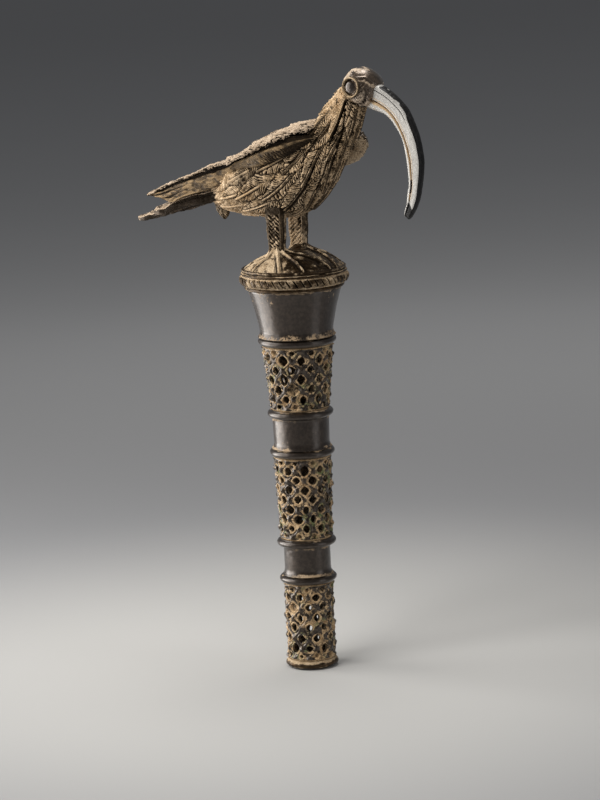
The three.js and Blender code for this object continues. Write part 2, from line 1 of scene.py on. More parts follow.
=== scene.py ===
import bpy
import math
import numpy as np
from mathutils import Matrix, Vector


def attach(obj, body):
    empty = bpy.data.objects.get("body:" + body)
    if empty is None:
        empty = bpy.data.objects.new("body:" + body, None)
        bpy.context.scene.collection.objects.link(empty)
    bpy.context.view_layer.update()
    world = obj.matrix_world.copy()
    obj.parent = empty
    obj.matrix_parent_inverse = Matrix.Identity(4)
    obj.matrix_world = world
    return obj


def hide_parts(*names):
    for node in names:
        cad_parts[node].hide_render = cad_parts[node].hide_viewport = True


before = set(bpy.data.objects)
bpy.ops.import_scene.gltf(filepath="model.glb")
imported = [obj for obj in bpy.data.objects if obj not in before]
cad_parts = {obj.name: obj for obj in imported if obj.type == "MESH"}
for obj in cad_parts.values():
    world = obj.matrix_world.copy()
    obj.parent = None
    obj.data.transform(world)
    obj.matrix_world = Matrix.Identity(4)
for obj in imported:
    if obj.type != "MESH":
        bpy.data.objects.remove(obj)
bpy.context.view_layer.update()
MM = 0.001

# ------------------------------------------------------------------ camera
AZ, EL, ROLL = math.radians(35.0), math.radians(10.5), math.radians(2.75)
TARGET = Vector((0, 0, 0.171))
DISTANCE = 1.944
back = Vector((math.sin(AZ) * math.cos(EL), -math.cos(AZ) * math.cos(EL), math.sin(EL)))
right = Vector((math.cos(AZ), math.sin(AZ), 0))
up = back.cross(right)
cam_x = right * math.cos(ROLL) - up * math.sin(ROLL)
cam_y = up * math.cos(ROLL) + right * math.sin(ROLL)
camera = bpy.data.objects.new("camera", bpy.data.cameras.new("camera"))
bpy.context.scene.collection.objects.link(camera)
place = Matrix((cam_x, cam_y, back)).transposed().to_4x4()
place.translation = TARGET + back * DISTANCE
camera.matrix_world = place
camera.data.sensor_fit = "AUTO"
camera.data.sensor_width = 36
camera.data.lens = 3085 / 800 * 36
camera.data.clip_start, camera.data.clip_end = 0.05, 20
bpy.context.scene.camera = camera


# ------------------------------------------------------------------ numbers
def lerp(a, b, t):
    return a + (b - a) * t


def step(x, a, b):
    t = np.clip((x - a) / (b - a), 0, 1)
    return t * t * (3 - 2 * t)


def bump(x, centre, half):
    return np.exp(-(((x - centre) / half) ** 2))


def hashed(i, j, k, seed):
    h = (i.astype(np.uint32) * np.uint32(374761393) + j.astype(np.uint32) * np.uint32(668265263)
         + k.astype(np.uint32) * np.uint32(2147483647) + np.uint32((seed * 144665 + 1013904223) % 4294967296))
    h = (h ^ (h >> np.uint32(13))) * np.uint32(1274126177)
    h = (h ^ (h >> np.uint32(16))) * np.uint32(2246822519)
    h = h ^ (h >> np.uint32(15))
    return h.astype(np.float64) / 2147483648.0 - 1.0


def noise(p, size, seed=0, octaves=1, gain=0.5):
    """Smooth value noise in -1..1 over points in mm; size is the feature size in mm."""
    total, amp, norm = 0.0, 1.0, 0.0
    for o in range(octaves):
        q = np.asarray(p, float) / (size / 2**o) + 1000.0
        c = np.floor(q)
        f = q - c
        f = f * f * (3 - 2 * f)
        i, j, k = (c[..., n].astype(np.int64) for n in range(3))
        acc = 0.0
        for a in (0, 1):
            for b in (0, 1):
                for d in (0, 1):
                    w = (f[..., 0] if a else 1 - f[..., 0]) * (f[..., 1] if b else 1 - f[..., 1]) * (f[..., 2] if d else 1 - f[..., 2])
                    acc = acc + w * hashed(i + a, j + b, k + d, seed + 31 * o)
        total = total + amp * acc
        norm += amp
        amp *= gain
    return total / norm * 1.6


def spline(rows, t):
    """Catmull-Rom through rows at parameters 0..len-1."""
    rows = np.asarray(rows, float)
    n = len(rows)
    t = np.clip(np.asarray(t, float), 0, n - 1)
    i = np.minimum(t.astype(int), n - 2)
    f = (t - i)[..., None]
    p1, p2 = rows[i], rows[i + 1]
    p0 = np.where((i > 0)[..., None], rows[np.maximum(i - 1, 0)], 2 * p1 - p2)
    p3 = np.where((i < n - 2)[..., None], rows[np.minimum(i + 2, n - 1)], 2 * p2 - p1)
    m1, m2 = (p2 - p0) / 2, (p3 - p1) / 2
    return (2 * f**3 - 3 * f**2 + 1) * p1 + (f**3 - 2 * f**2 + f) * m1 + (-2 * f**3 + 3 * f**2) * p2 + (f**3 - f**2) * m2


def blur(h, nu, nv, wrap_u=False, wrap_v=False):
    """Box blur, twice, over a grid; nu and nv are half-widths in samples."""
    for _ in range(2):
        for axis, n, wrap in ((0, nu, wrap_u), (1, nv, wrap_v)):
            if n < 1:
                continue
            pad = [(0, 0), (0, 0)]
            pad[axis] = (n + 1, n)
            c = np.cumsum(np.pad(h, pad, mode="wrap" if wrap else "edge"), axis=axis)
            size = h.shape[axis]
            hi = np.take(c, np.arange(2 * n + 1, 2 * n + 1 + size), axis=axis)
            lo = np.take(c, np.arange(0, size), axis=axis)
            h = (hi - lo) / (2 * n + 1)
    return h


def grid_normals(P, wrap_u=False, wrap_v=False):
    def d(axis, wrap):
        if wrap:
            return np.roll(P, -1, axis) - np.roll(P, 1, axis)
        return np.gradient(P, axis=axis)

    n = np.cross(d(0, wrap_u), d(1, wrap_v))
    length = np.linalg.norm(n, axis=-1, keepdims=True)
    return n / np.maximum(length, 1e-9)


def grid_quads(nu, nv, wrap_u=False, wrap_v=False):
    i = np.arange(nu if wrap_u else nu - 1)
    j = np.arange(nv if wrap_v else nv - 1)
    i, j = np.meshgrid(i, j, indexing="ij")
    a = i * nv + j
    b = ((i + 1) % nu) * nv + j
    c = ((i + 1) % nu) * nv + (j + 1) % nv
    d = i * nv + (j + 1) % nv
    return np.stack([a, b, c, d], -1).reshape(-1, 4)


def fan(ring, centre):
    ring = np.asarray(ring)
    return np.stack([np.full(len(ring) - 1, centre), ring[:-1], ring[1:]], -1)


def volume(V, faces):
    total = 0.0
    for F in faces:
        if len(F) == 0:
            continue
        a = V[F[:, 0]]
        for n in range(1, F.shape[1] - 1):
            total += np.einsum("ij,ij->i", a, np.cross(V[F[:, n]], V[F[:, n + 1]])).sum() / 6
    return total


# ------------------------------------------------------------------ materials
class Nodes:
    def __init__(self, name):
        self.mat = bpy.data.materials.new(name)
        self.mat.use_nodes = True
        self.t = self.mat.node_tree
        self.t.nodes.clear()
        self.out = self.t.nodes.new("ShaderNodeOutputMaterial")
        self.bsdf = self.t.nodes.new("ShaderNodeBsdfPrincipled")
        self.link(self.bsdf.outputs[0], self.out.inputs[0])
        self.coord = self.t.nodes.new("ShaderNodeTexCoord").outputs["Object"]

    def link(self, a, b):
        self.t.links.new(a, b)

    def put(self, socket, value):
        if isinstance(value, bpy.types.NodeSocket):
            self.link(value, socket)
        else:
            socket.default_value = value

    def attr(self, name):
        n = self.t.nodes.new("ShaderNodeAttribute")
        n.attribute_name = name
        return n.outputs["Fac"]

    def noise(self, size_mm, detail=3.0, rough=0.55, stretch=None, distortion=0.0, offset=0.0):
        n = self.t.nodes.new("ShaderNodeTexNoise")
        n.inputs["Scale"].default_value = 1.0 / (size_mm * MM)
        n.inputs["Detail"].default_value = detail
        n.inputs["Roughness"].default_value = rough
        n.inputs["Distortion"].default_value = distortion
        m = self.t.nodes.new("ShaderNodeMapping")
        m.inputs["Location"].default_value = (offset, offset * 0.7, offset * 1.3)
        if stretch:
            m.inputs["Scale"].default_value = stretch
        self.link(self.coord, m.inputs["Vector"])
        self.link(m.outputs[0], n.inputs["Vector"])
        return n.outputs["Fac"]

    def spots(self, size_mm, offset=0.0):
        n = self.t.nodes.new("ShaderNodeTexVoronoi")
        n.inputs["Scale"].default_value = 1.0 / (size_mm * MM)
        m = self.t.nodes.new("ShaderNodeMapping")
        m.inputs["Location"].default_value = (offset, offset * 0.7, offset * 1.3)
        self.link(self.coord, m.inputs["Vector"])
        self.link(m.outputs[0], n.inputs["Vector"])
        return n.outputs["Distance"]

    def math(self, op, a, b=0.0, clamp=False):
        n = self.t.nodes.new("ShaderNodeMath")
        n.operation = op
        n.use_clamp = clamp
        self.put(n.inputs[0], a)
        self.put(n.inputs[1], b)
        return n.outputs[0]

    def span(self, x, a, b, lo=0.0, hi=1.0):
        n = self.t.nodes.new("ShaderNodeMapRange")
        n.interpolation_type = "SMOOTHSTEP"
        self.put(n.inputs["Value"], x)
        for key, v in (("From Min", a), ("From Max", b), ("To Min", lo), ("To Max", hi)):
            n.inputs[key].default_value = v
        return n.outputs["Result"]

    def mix(self, fac, a, b):
        n = self.t.nodes.new("ShaderNodeMix")
        n.data_type = "RGBA"
        self.put(n.inputs["Factor"], fac)
        for socket, value in ((n.inputs[6], a), (n.inputs[7], b)):
            if isinstance(value, bpy.types.NodeSocket):
                self.link(value, socket)
            else:
                socket.default_value = (*value, 1.0)
        return n.outputs[2]

    def mixf(self, fac, a, b):
        n = self.t.nodes.new("ShaderNodeMix")
        n.data_type = "FLOAT"
        self.put(n.inputs["Factor"], fac)
        self.put(n.inputs[2], a)
        self.put(n.inputs[3], b)
        return n.outputs[0]

    def bumps(self, *layers):
        """layers are (height socket, distance in mm, strength)."""
        normal = None
        for height, mm, strength in layers:
            n = self.t.nodes.new("ShaderNodeBump")
            n.inputs["Strength"].default_value = strength
            n.inputs["Distance"].default_value = mm * MM
            self.link(height, n.inputs["Height"])
            if normal is not None:
                self.link(normal, n.inputs["Normal"])
            normal = n.outputs[0]
        self.link(normal, self.bsdf.inputs["Normal"])

    def finish(self, colour, rough, metal):
        self.put(self.bsdf.inputs["Base Color"], colour)
        self.put(self.bsdf.inputs["Roughness"], rough)
        self.put(self.bsdf.inputs["Metallic"], metal)
        return self.mat


def patina(name, dark, mid, tan, pale, *, dep=0.0, rub=1.0, green=0.0, gloss=0.34, dull=0.72, grain=0.5, tan_noise=0.5, offset=0.0, coat=0.0, metal=0.85, fleck=0.6):
    """Cast bronze. The deposit attribute (0..1) says where deposits lie, and in places it is raised for painted light
    or lowered for painted shade; rub says where the metal is rubbed bare; deep is painted shade that darkens grooves,
    hollows and parts in shadow almost to black, and in a few places dark patina.
    """
    n = Nodes(name)
    big = n.noise(9, 3, 0.6, offset=offset)
    medium = n.noise(2.2, 4, 0.6, offset=offset + 1)
    fine = n.noise(0.55, 3, 0.65, offset=offset + 2)
    # how much deposit
    a = n.math("MULTIPLY_ADD", n.attr("dep"), 1.0)
    n.t.nodes[-1].inputs[2].default_value = dep
    b = n.math("MULTIPLY", n.math("SUBTRACT", medium, 0.5), tan_noise)
    c = n.math("MULTIPLY", n.math("SUBTRACT", big, 0.5), tan_noise * 0.9)
    d = n.math("MULTIPLY", n.math("SUBTRACT", fine, 0.5), tan_noise * fleck)
    amount = n.math("ADD", n.math("ADD", a, b), n.math("ADD", c, d))
    rubbed = n.math("MULTIPLY", n.attr("rub"), rub)
    amount = n.math("SUBTRACT", amount, rubbed)
    metal_col = n.mix(n.span(medium, 0.35, 0.7), dark, mid)
    # the tan-to-pale deposit colour; where the deposit attribute carries painted light it gives painted highlights
    deposit_col = n.mix(n.span(n.math("ADD", fine, n.math("MULTIPLY", big, 0.5)), 0.55, 0.95), tan, pale)
    col = n.mix(n.span(amount, 0.25, 0.62), metal_col, deposit_col)
    if green:
        patch = n.math("MULTIPLY", n.span(n.noise(5, 3, 0.6, offset=offset + 5), 0.46, 0.68), green)
        patch = n.math("MULTIPLY", patch, n.span(n.attr("verd"), 0.0, 1.0))
        patch = n.math("MULTIPLY", patch, n.span(amount, 0.1, 0.5))
        col = n.mix(patch, col, (0.15, 0.17, 0.075))
    # painted shade: the deep attribute darkens the colour almost to black and roughens it
    deep = n.span(n.attr("deep"), 0.15, 0.95)
    col = n.mix(deep, col, (0.019, 0.0125, 0.007))
    is_metal = n.span(amount, 0.25, 0.6, 1.0, 0.0)
    rough = n.mixf(is_metal, dull, gloss)
    rough = n.math("ADD", rough, n.math("MULTIPLY", n.math("SUBTRACT", fine, 0.5), 0.25), clamp=True)
    rough = n.math("ADD", rough, n.math("MULTIPLY", deep, 0.3), clamp=True)
    metallic = n.mixf(is_metal, 0.1, metal)
    if coat:
        # the handled metal has a worn, waxy gloss; none of it over deposits or in grooves
        shine = n.math("MULTIPLY", n.math("MULTIPLY", is_metal, n.math("SUBTRACT", 1.0, deep)), coat)
        n.put(n.bsdf.inputs["Coat Weight"], shine)
        n.bsdf.inputs["Coat Roughness"].default_value = 0.24
        n.bsdf.inputs["Coat IOR"].default_value = 1.5
    n.bumps((medium, 0.35 * grain, 0.6), (fine, 0.16 * grain, 0.8))
    return n.finish(col, rough, metallic)


TAN, PALE = (0.30, 0.20, 0.115), (0.50, 0.38, 0.26)
M = {
    # painted light: the far wing's bend lies in shade, so its own material is lighter and tan, as if the bend were lit
    "bend": patina("bronze_bend_painted_light", (0.045, 0.031, 0.019), (0.12, 0.085, 0.055), (0.33, 0.23, 0.135), (0.58, 0.45, 0.30), dep=0.0, gloss=0.36, grain=0.8, tan_noise=0.8, offset=16, coat=0.4, metal=0.6),
    "smooth": patina("bronze_smooth", (0.031, 0.021, 0.014), (0.058, 0.041, 0.029), (0.27, 0.175, 0.095), (0.43, 0.32, 0.205), dep=-0.09, gloss=0.38, grain=0.12, tan_noise=0.66, coat=0.85, metal=0.8),
    "openwork": patina("bronze_openwork", (0.030, 0.020, 0.013), (0.085, 0.060, 0.038), (0.235, 0.132, 0.054), (0.66, 0.48, 0.285), dep=0.0, green=1.3, gloss=0.33, grain=1.0, tan_noise=0.8, offset=3, coat=0.8, fleck=1.9),
    "cast": patina("bronze_cast", (0.032, 0.019, 0.009), (0.088, 0.054, 0.026), (0.275, 0.178, 0.090), (0.54, 0.42, 0.28), dep=0.0, gloss=0.42, grain=0.7, tan_noise=0.75, green=0.3, offset=6, coat=0.16),
    "plumage": patina("bronze_plumage", (0.045, 0.030, 0.016), (0.12, 0.082, 0.046), (0.335, 0.208, 0.092), (0.71, 0.54, 0.36), dep=0.05, gloss=0.42, grain=1.0, tan_noise=0.8, offset=9, coat=0.1),
    "cape": patina("bronze_cape", (0.036, 0.026, 0.018), (0.11, 0.08, 0.055), (0.30, 0.21, 0.13), (0.50, 0.395, 0.29), dep=-0.04, gloss=0.45, grain=1.2, tan_noise=0.95, offset=12, coat=0.05),
    "wing": patina("bronze_wing", (0.040, 0.026, 0.013), (0.105, 0.070, 0.037), (0.190, 0.122, 0.058), (0.32, 0.222, 0.122), dep=0.0, gloss=0.5, grain=0.7, tan_noise=0.5, offset=15, coat=0.03, metal=0.3),
    "head": patina("bronze_head", (0.085, 0.058, 0.037), (0.17, 0.120, 0.082), (0.30, 0.215, 0.135), (0.52, 0.42, 0.32), dep=-0.05, gloss=0.3, grain=0.25, tan_noise=0.36, offset=18, coat=1.0),
}
# dry deposits shine less than bare metal
for key, level in (("wing", 0.2), ("plumage", 0.22), ("cape", 0.3), ("cast", 0.28), ("openwork", 0.3)):
    for node in M[key].node_tree.nodes:
        if node.type == "BSDF_PRINCIPLED":
            node.inputs["Specular IOR Level"].default_value = level


# ------------------------------------------------------------------ pieces
def piece(name, V, faces, mat, slot, nodes=(), **attrs):
    """A mesh in mm, turned outward, riding on the one body."""
    V = np.asarray(V, float).reshape(-1, 3)
    faces = [np.asarray(F) for F in faces if len(F)]
    if volume(V, faces) < 0:
        faces = [F[:, ::-1] for F in faces]
    me = bpy.data.meshes.new(name)
    me.from_pydata((V * MM).tolist(), [], [f for F in faces for f in F.tolist()])
    me.shade_smooth()
    for key in ("dep", "rub", "deep", "verd"):
        value = attrs.get(key)
        if value is None:
            continue
        a = me.attributes.new(key, "FLOAT", "POINT")
        value = np.broadcast_to(np.asarray(value, float).reshape(-1) if np.ndim(value) else np.full(len(V), float(value)), (len(V),))
        a.data.foreach_set("value", np.ascontiguousarray(value, dtype=np.float32))
    me.materials.append(mat)
    me.validate()
    me.update()
    o = bpy.data.objects.new(name, me)
    bpy.context.scene.collection.objects.link(o)
    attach(o, "root")
    if nodes:
        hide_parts(*nodes)
    return o


def polar(r, th, z):
    return np.stack([r * np.cos(th), r * np.sin(th), z], -1)


def lathe(name, profile, nth, mat, slot, nodes, relief=None, marks=None, dense=0.35):
    """A closed profile of (r, z) corners turned round Z, resampled every dense mm; relief(th, z, s, P) gives mm outward, marks the attributes."""
    pts = np.asarray(profile + [profile[0]], float)
    out, kind = [], []
    for k in range(len(pts) - 1):
        a, b = pts[k], pts[k + 1]
        n = max(1, int(np.linalg.norm(b - a) / dense))
        for m in range(n):
            out.append(lerp(a, b, m / n))
    ring = np.array(out)
    # rounded corners: two passes of smoothing where the profile isn't on the seam planes
    lo, hi = ring[:, 1].min(), ring[:, 1].max()
    free = (ring[:, 1] > lo + 1e-6) & (ring[:, 1] < hi - 1e-6)
    for _ in range(2):
        avg = (np.roll(ring, 1, 0) + 2 * ring + np.roll(ring, -1, 0)) / 4
        ring[free] = avg[free]
    th = np.linspace(0, 2 * np.pi, nth, endpoint=False)
    T, S = np.meshgrid(th, np.arange(len(ring)), indexing="ij")
    R, Z = ring[S, 0], ring[S, 1]
    d = np.roll(ring, -1, 0) - np.roll(ring, 1, 0)
    nr = np.stack([d[:, 1], -d[:, 0]], -1)
    area = np.sum(ring[:, 0] * np.roll(ring[:, 1], -1) - np.roll(ring[:, 0], -1) * ring[:, 1])
    if area < 0:
        nr = -nr
    nr /= np.maximum(np.linalg.norm(nr, axis=1, keepdims=True), 1e-9)
    NR, NZ = nr[S, 0], nr[S, 1]
    P = polar(R, T, Z)
    outer = step(NR, -0.2, 0.5)
    edge = free[S]
    h = np.zeros_like(R) if relief is None else relief(T, Z, R, P) * outer
    hz = h * edge
    V = polar(R + h * np.maximum(NR, 0), T, Z + hz * NZ)
    attrs = {k: v * outer for k, v in (marks(T, Z, R, P, h) if marks else {}).items()}
    return piece(name, V, [grid_quads(nth, len(ring), True, True)], mat, slot, nodes, **attrs)


# ------------------------------------------------------------------ shaft
WALL = 2.6
FOOT = (0, 4.5, 16.6, 14.9)
LATTICE_LOW = (4.5, 54.4, 14.6, 14.9, 9, 7)
RING_1 = (54.4, 59.4, 18.2)
BAND_LOW = (59.4, 78.2, 14.8, 14.8)
RING_2 = (78.2, 83.2, 18.8)
LATTICE_MID = (83.2, 136.2, 15.9, 17.6, 10, 8)
RING_3 = (136.2, 141.4, 20.5)
BAND_HIGH = (141.4, 161.2, 17.5, 17.9)
RING_4 = (161.2, 166.4, 20.9)
LATTICE_HIGH = (166.4, 207.4, 17.9, 21.8, 11, 6)
RING_5 = (207.4, 212.8, 24.7)
CUP = (212.8, 243.4, 22.7, 29.3)


def wobble(amp=0.12, size=14, seed=1):
    return lambda T, Z, R, P: amp * noise(P, size, seed, 2) + 0.035 * noise(P, 2.5, seed + 5, 2)


def ring_marks(z0, z1):
    def f(T, Z, R, P, h):
        t = (Z - z0) / (z1 - z0)
        ragged = 0.14 * noise(P, 4, 21, 3)
        patch = 0.7 + 0.5 * noise(P * (1, 1, 0.3), 9, 22, 2)
        dep = step(t + ragged, 0.78, 1.0) * 0.85 * patch + step(1 - t + ragged, 0.88, 1.0) * 0.55 * patch
        # painted shade in the creases along the ring's top and bottom edges
        return {"dep": dep, "deep": step(np.abs(t - 0.5), 0.46, 0.5) * 0.6, "rub": 0.25 * bump(t, 0.5, 0.22)}
    return f


def moulding(name, spec, below, above, seed):
    z0, z1, r = spec
    h = (z1 - z0) * 0.42
    mid = (z0 + z1) / 2 - 0.15
    p = [(below - WALL, z0), (below + 0.3, z0), (below + 0.9, z0 + 0.25)]
    for i in range(13):
        a = -math.pi / 2 + math.pi * i / 12
        p.append((r - h + h * math.cos(a) * (1.0 if abs(a) < 1.2 else 0.96), mid + h * math.sin(a)))
    p += [(above + 1.2, z1 - 0.2), (above + 0.5, z1), (above - WALL, z1)]
    return lathe(name, p, 300, M["smooth"], "dark_polish", [name], wobble(0.1, 9, seed), ring_marks(z0, z1), 0.3)


def band_marks(z0, z1, low=3.0, high=2.3):
    def f(T, Z, R, P, h):
        ragged = 1.0 * noise(P, 5, 33, 3) + 0.5 * noise(P, 1.6, 34, 2)
        patch = 0.75 + 0.55 * noise(P * (1, 1, 0.2), 11, 35, 2)
        dep = (step(low - (Z - z0) + ragged, 0, 1.9) + step(high - (z1 - Z) + ragged, 0, 1.5)) * 0.72 * patch
        specks = step(noise(P, 1.5, 36), 0.60, 0.9) * 0.45 * step(noise(P, 9, 37), 0.0, 0.6)
        # painted shade in the crease at the band's foot, above the ring
        return {"dep": dep + specks, "deep": step(0.35 - (Z - z0), 0, 0.35) * 0.6}
    return f


def band(name, spec, seed):
    z0, z1, r0, r1 = spec
    p = [(r0 - WALL, z0), (r0 + 1.5, z0), (r0 + 0.75, z0 + 0.8), (r0 + 0.25, z0 + 2.0), (r0, z0 + 3.6)]
    p += [(lerp(r0, r1, 0.5), (z0 + z1) / 2 + 1), (r1, z1 - 1.4), (r1 + 0.3, z1), (r1 - WALL, z1)]
    return lathe(name, p, 300, M["smooth"], "dark_polish", [name], wobble(0.1, 16, seed), band_marks(z0, z1), 0.4)


def openwork(name, spec, seed, tint):
    """The net: every cell is a diamond round one hole, its edges are the strands, its corners the knots."""
    z0, z1, r0, r1, cols, rows = spec
    EDGE, SEG, RAD = 1.5, 8, (1.0, 0.86, 0.72, 0.58, 0.44, 0.32, 0.2, 0.1, 0.0)
    rng = np.random.default_rng(seed)
    tones = np.random.default_rng(seed + 50)
    small = 1 - 0.13 * step(tint, 0.8, 1.0)
    lines = np.linspace(z0 + EDGE, z1 - EDGE, rows + 1)
    pitch = lines[1] - lines[0]
    radius = lambda z: r0 + (r1 - r0) * (z - z0) / (z1 - z0)
    rm = (r0 + r1) / 2
    jitter = rng.uniform(-1, 1, (2 * cols, rows + 1, 2)) * (0.14 * math.pi / cols, 0.55)
    jitter[:, 0, 1] = jitter[:, rows, 1] = 0

    def corner(k, j):
        jk = jitter[k % (2 * cols), j]
        return np.array([math.pi * k / cols + jk[0], lines[j] + jk[1]])

    cells = []
    for k in range(2 * cols):
        for j in range(rows + 1):
            if (k + j) % 2:
                continue
            if j == 0:
                c = [(k - 1, 0), (k, 0), (k + 1, 0), (k, 1)]
                knots = [1, 0, 1, 1]
            elif j == rows:
                c = [(k - 1, rows), (k, rows - 1), (k + 1, rows), (k, rows)]
                knots = [1, 1, 1, 0]
            else:
                c = [(k - 1, j), (k, j - 1), (k + 1, j), (k, j + 1)]
                knots = [1, 1, 1, 1]
            cells.append((np.array([corner(*q) for q in c]), knots, 0 < j < rows, k, j))
    table, V, quads = {}, [], []
    A = {"dep": [], "rub": [], "deep": [], "verd": []}

    def vertex(key, p, a):
        if key is not None and key in table:
            return table[key]
        V.append(p)
        for q in A:
            A[q].append(a[q])
        if key is not None:
            table[key] = len(V) - 1
        return len(V) - 1

    blank = dict(dep=0.5, rub=0.0, deep=0.0, verd=0.0)
    t8 = np.arange(SEG) / SEG
    for corners, knots, whole, k, j in cells:
        edge = np.concatenate([lerp(corners[n], corners[(n + 1) % 4], t8[:, None]) for n in range(4)])
        mid = corners.mean(0) if whole else corners.mean(0)
        mid = mid + rng.uniform(-1, 1, 2) * (0.03, 0.35)
        size = rng.uniform(0.82, 1.2)
        open_ = whole or rng.random() < 0.45
        wide = 2.6 * small * size * rng.uniform(0.88, 1.12) * (1 if whole else 0.6)
        high = 2.95 * small * size * rng.uniform(0.88, 1.12) * (1 if whole else 0.5)
        away = abs((mid[0] - 2.35 + math.pi) % (2 * math.pi) - math.pi)
        blocked = whole and rng.random() < 0.08 + 0.70 * max(0.0, 1 - away / 1.1) * (1.15 - tint)
        if blocked:
            open_ = False
        tilt = rng.uniform(-0.35, 0.35)
        tone = tones.uniform(0.05, 1.0)
        # hole outline between a diamond and an ellipse
        local = (edge - mid) * (rm, 1)
        ang = np.arctan2(local[:, 1] / high, local[:, 0] / wide)
        e = rng.uniform(1.25, 1.9)
        rad = (np.abs(np.cos(ang)) ** e + np.abs(np.sin(ang)) ** e) ** (-1 / e)
        hx, hz = wide * rad * np.cos(ang), high * rad * np.sin(ang)
        hx, hz = hx * math.cos(tilt) - hz * math.sin(tilt) * 0.5, hz * math.cos(tilt) + hx * math.sin(tilt) * 0.5
        limit = 0.70 * np.hypot(local[:, 0], local[:, 1])
        scale = np.minimum(1, limit / np.maximum(np.hypot(hx, hz), 1e-6))
        hole = mid + np.stack([hx * scale / rm, hz * scale], -1)
        rows_idx = []
        kx, kz = 2.35, 2.7
        for depth, rho in enumerate(RAD):
            p = lerp(hole, edge, rho)
            loc = (p[:, None, :] - corners[None]) * (rm, 1)
            norm = np.abs(loc[..., 0]) / kx + np.abs(loc[..., 1]) / kz
            norm = np.where(np.array(knots)[None] == 1, norm, 9.0).min(1)
            knot = step(1.15 - norm, 0, 0.85)
            d_hole = np.linalg.norm((p - hole) * (rm, 1), axis=1)
            rim = bump(d_hole, 0.62, 0.48)
            centre = step(rho, 0.45, 1.0)
            P = polar(radius(p[:, 1]), p[:, 0], p[:, 1])
            grit = noise(P, 1.3, seed, 2)
            lumps = noise(P, 2.6, seed + 7, 2)
            h = 0.12 + 1.3 * knot + 0.34 * rim * (1 - 0.6 * knot) + 0.52 * centre * (1 - knot) + 0.28 * grit + 0.52 * lumps
            h = h - 0.5 * step(0.18 - d_hole, 0, 0.18)
            groove = bump(d_hole, 1.45, 0.32) * (1 - knot)
            h = h - 0.28 * groove
            if not open_:
                h = h - 1.1 * step(0.9 - d_hole, 0, 0.9)
            fade = np.minimum(step(p[:, 1] - z0, 0.0, 1.6), step(z1 - p[:, 1], 0.0, 1.6))
            P = polar(radius(p[:, 1]) + h * lerp(0.35, 1.0, fade), p[:, 0], p[:, 1])
            verd = step(noise(P, 16, 61, 2), -0.35, 0.5) * tint
            patch = noise(P, 8, seed + 9, 2)
            row = []
            for n in range(4 * SEG):
                # painted shade: deep darkens the groove round each hole and the lip where the surface turns into it
                a = dict(dep=0.39 + 0.10 * step(tint, 0.9, 1.0) + 0.62 * tone * rim[n] * min(1.3, max(0.0, 0.6 + 1.3 * lumps[n])) - 0.19 * centre - 0.22 * knot[n] + 0.62 * grit[n] + 0.40 * patch[n], rub=max(0.0, knot[n] - 0.2) * 0.9 + 0.17 * centre * (1 - knot[n]),
                         deep=0.55 * groove[n] + 0.6 * (1 - min(1.0, d_hole[n] / 0.2)), verd=verd[n])
                key = (round((p[n, 0] % (2 * math.pi)) * 2e4) % round(4e4 * math.pi), round(p[n, 1] * 1e3), 0) if depth == 0 else None
                row.append(vertex(key, P[n], a))
            rows_idx.append(row)
        # painted shade: the walls inside the holes and the inner face are darkened
        dark = dict(dep=0.38, rub=0.0, deep=0.48, verd=0.0)
        if open_:
            for w in (0.35, 1.0):
                p = hole
                P = polar(radius(p[:, 1]) - WALL * w, p[:, 0], p[:, 1])
                rows_idx.append([vertex(None, P[n], dark) for n in range(4 * SEG)])
            for rho in (0.5, 1.0):
                p = lerp(hole, edge, rho)
                P = polar(radius(p[:, 1]) - WALL, p[:, 0], p[:, 1])
                keys = [(round((p[n, 0] % (2 * math.pi)) * 2e4) % round(4e4 * math.pi), round(p[n, 1] * 1e3), 1) if rho == 1.0 else None for n in range(4 * SEG)]
                rows_idx.append([vertex(keys[n], P[n], dark) for n in range(4 * SEG)])
            for a, b in zip(rows_idx[:-1], rows_idx[1:]):
                for n in range(4 * SEG):
                    m = (n + 1) % (4 * SEG)
                    quads.append((a[n], a[m], b[m], b[n]))
        else:
            for a, b in zip(rows_idx[:-1], rows_idx[1:]):
                for n in range(4 * SEG):
                    m = (n + 1) % (4 * SEG)
                    quads.append((a[n], a[m], b[m], b[n]))
            P = polar(radius(mid[1]) - 1.2, mid[0], mid[1])
            c = vertex(None, P, dict(dep=0.35, rub=0, deep=0.5, verd=0))
            last = rows_idx[-1]
            tri = [(last[n], last[(n + 1) % (4 * SEG)], c) for n in range(4 * SEG)]
            quads.extend(tri)
            inner = []
            for n in range(4 * SEG):
                key = (round((edge[n, 0] % (2 * math.pi)) * 2e4) % round(4e4 * math.pi), round(edge[n, 1] * 1e3), 1)
                inner.append(vertex(key, polar(radius(edge[n, 1]) - WALL, edge[n, 0], edge[n, 1]), dark))
            c = vertex(None, polar(radius(mid[1]) - WALL, mid[0], mid[1]), dark)
            quads.extend([(inner[(n + 1) % (4 * SEG)], inner[n], c) for n in range(4 * SEG)])
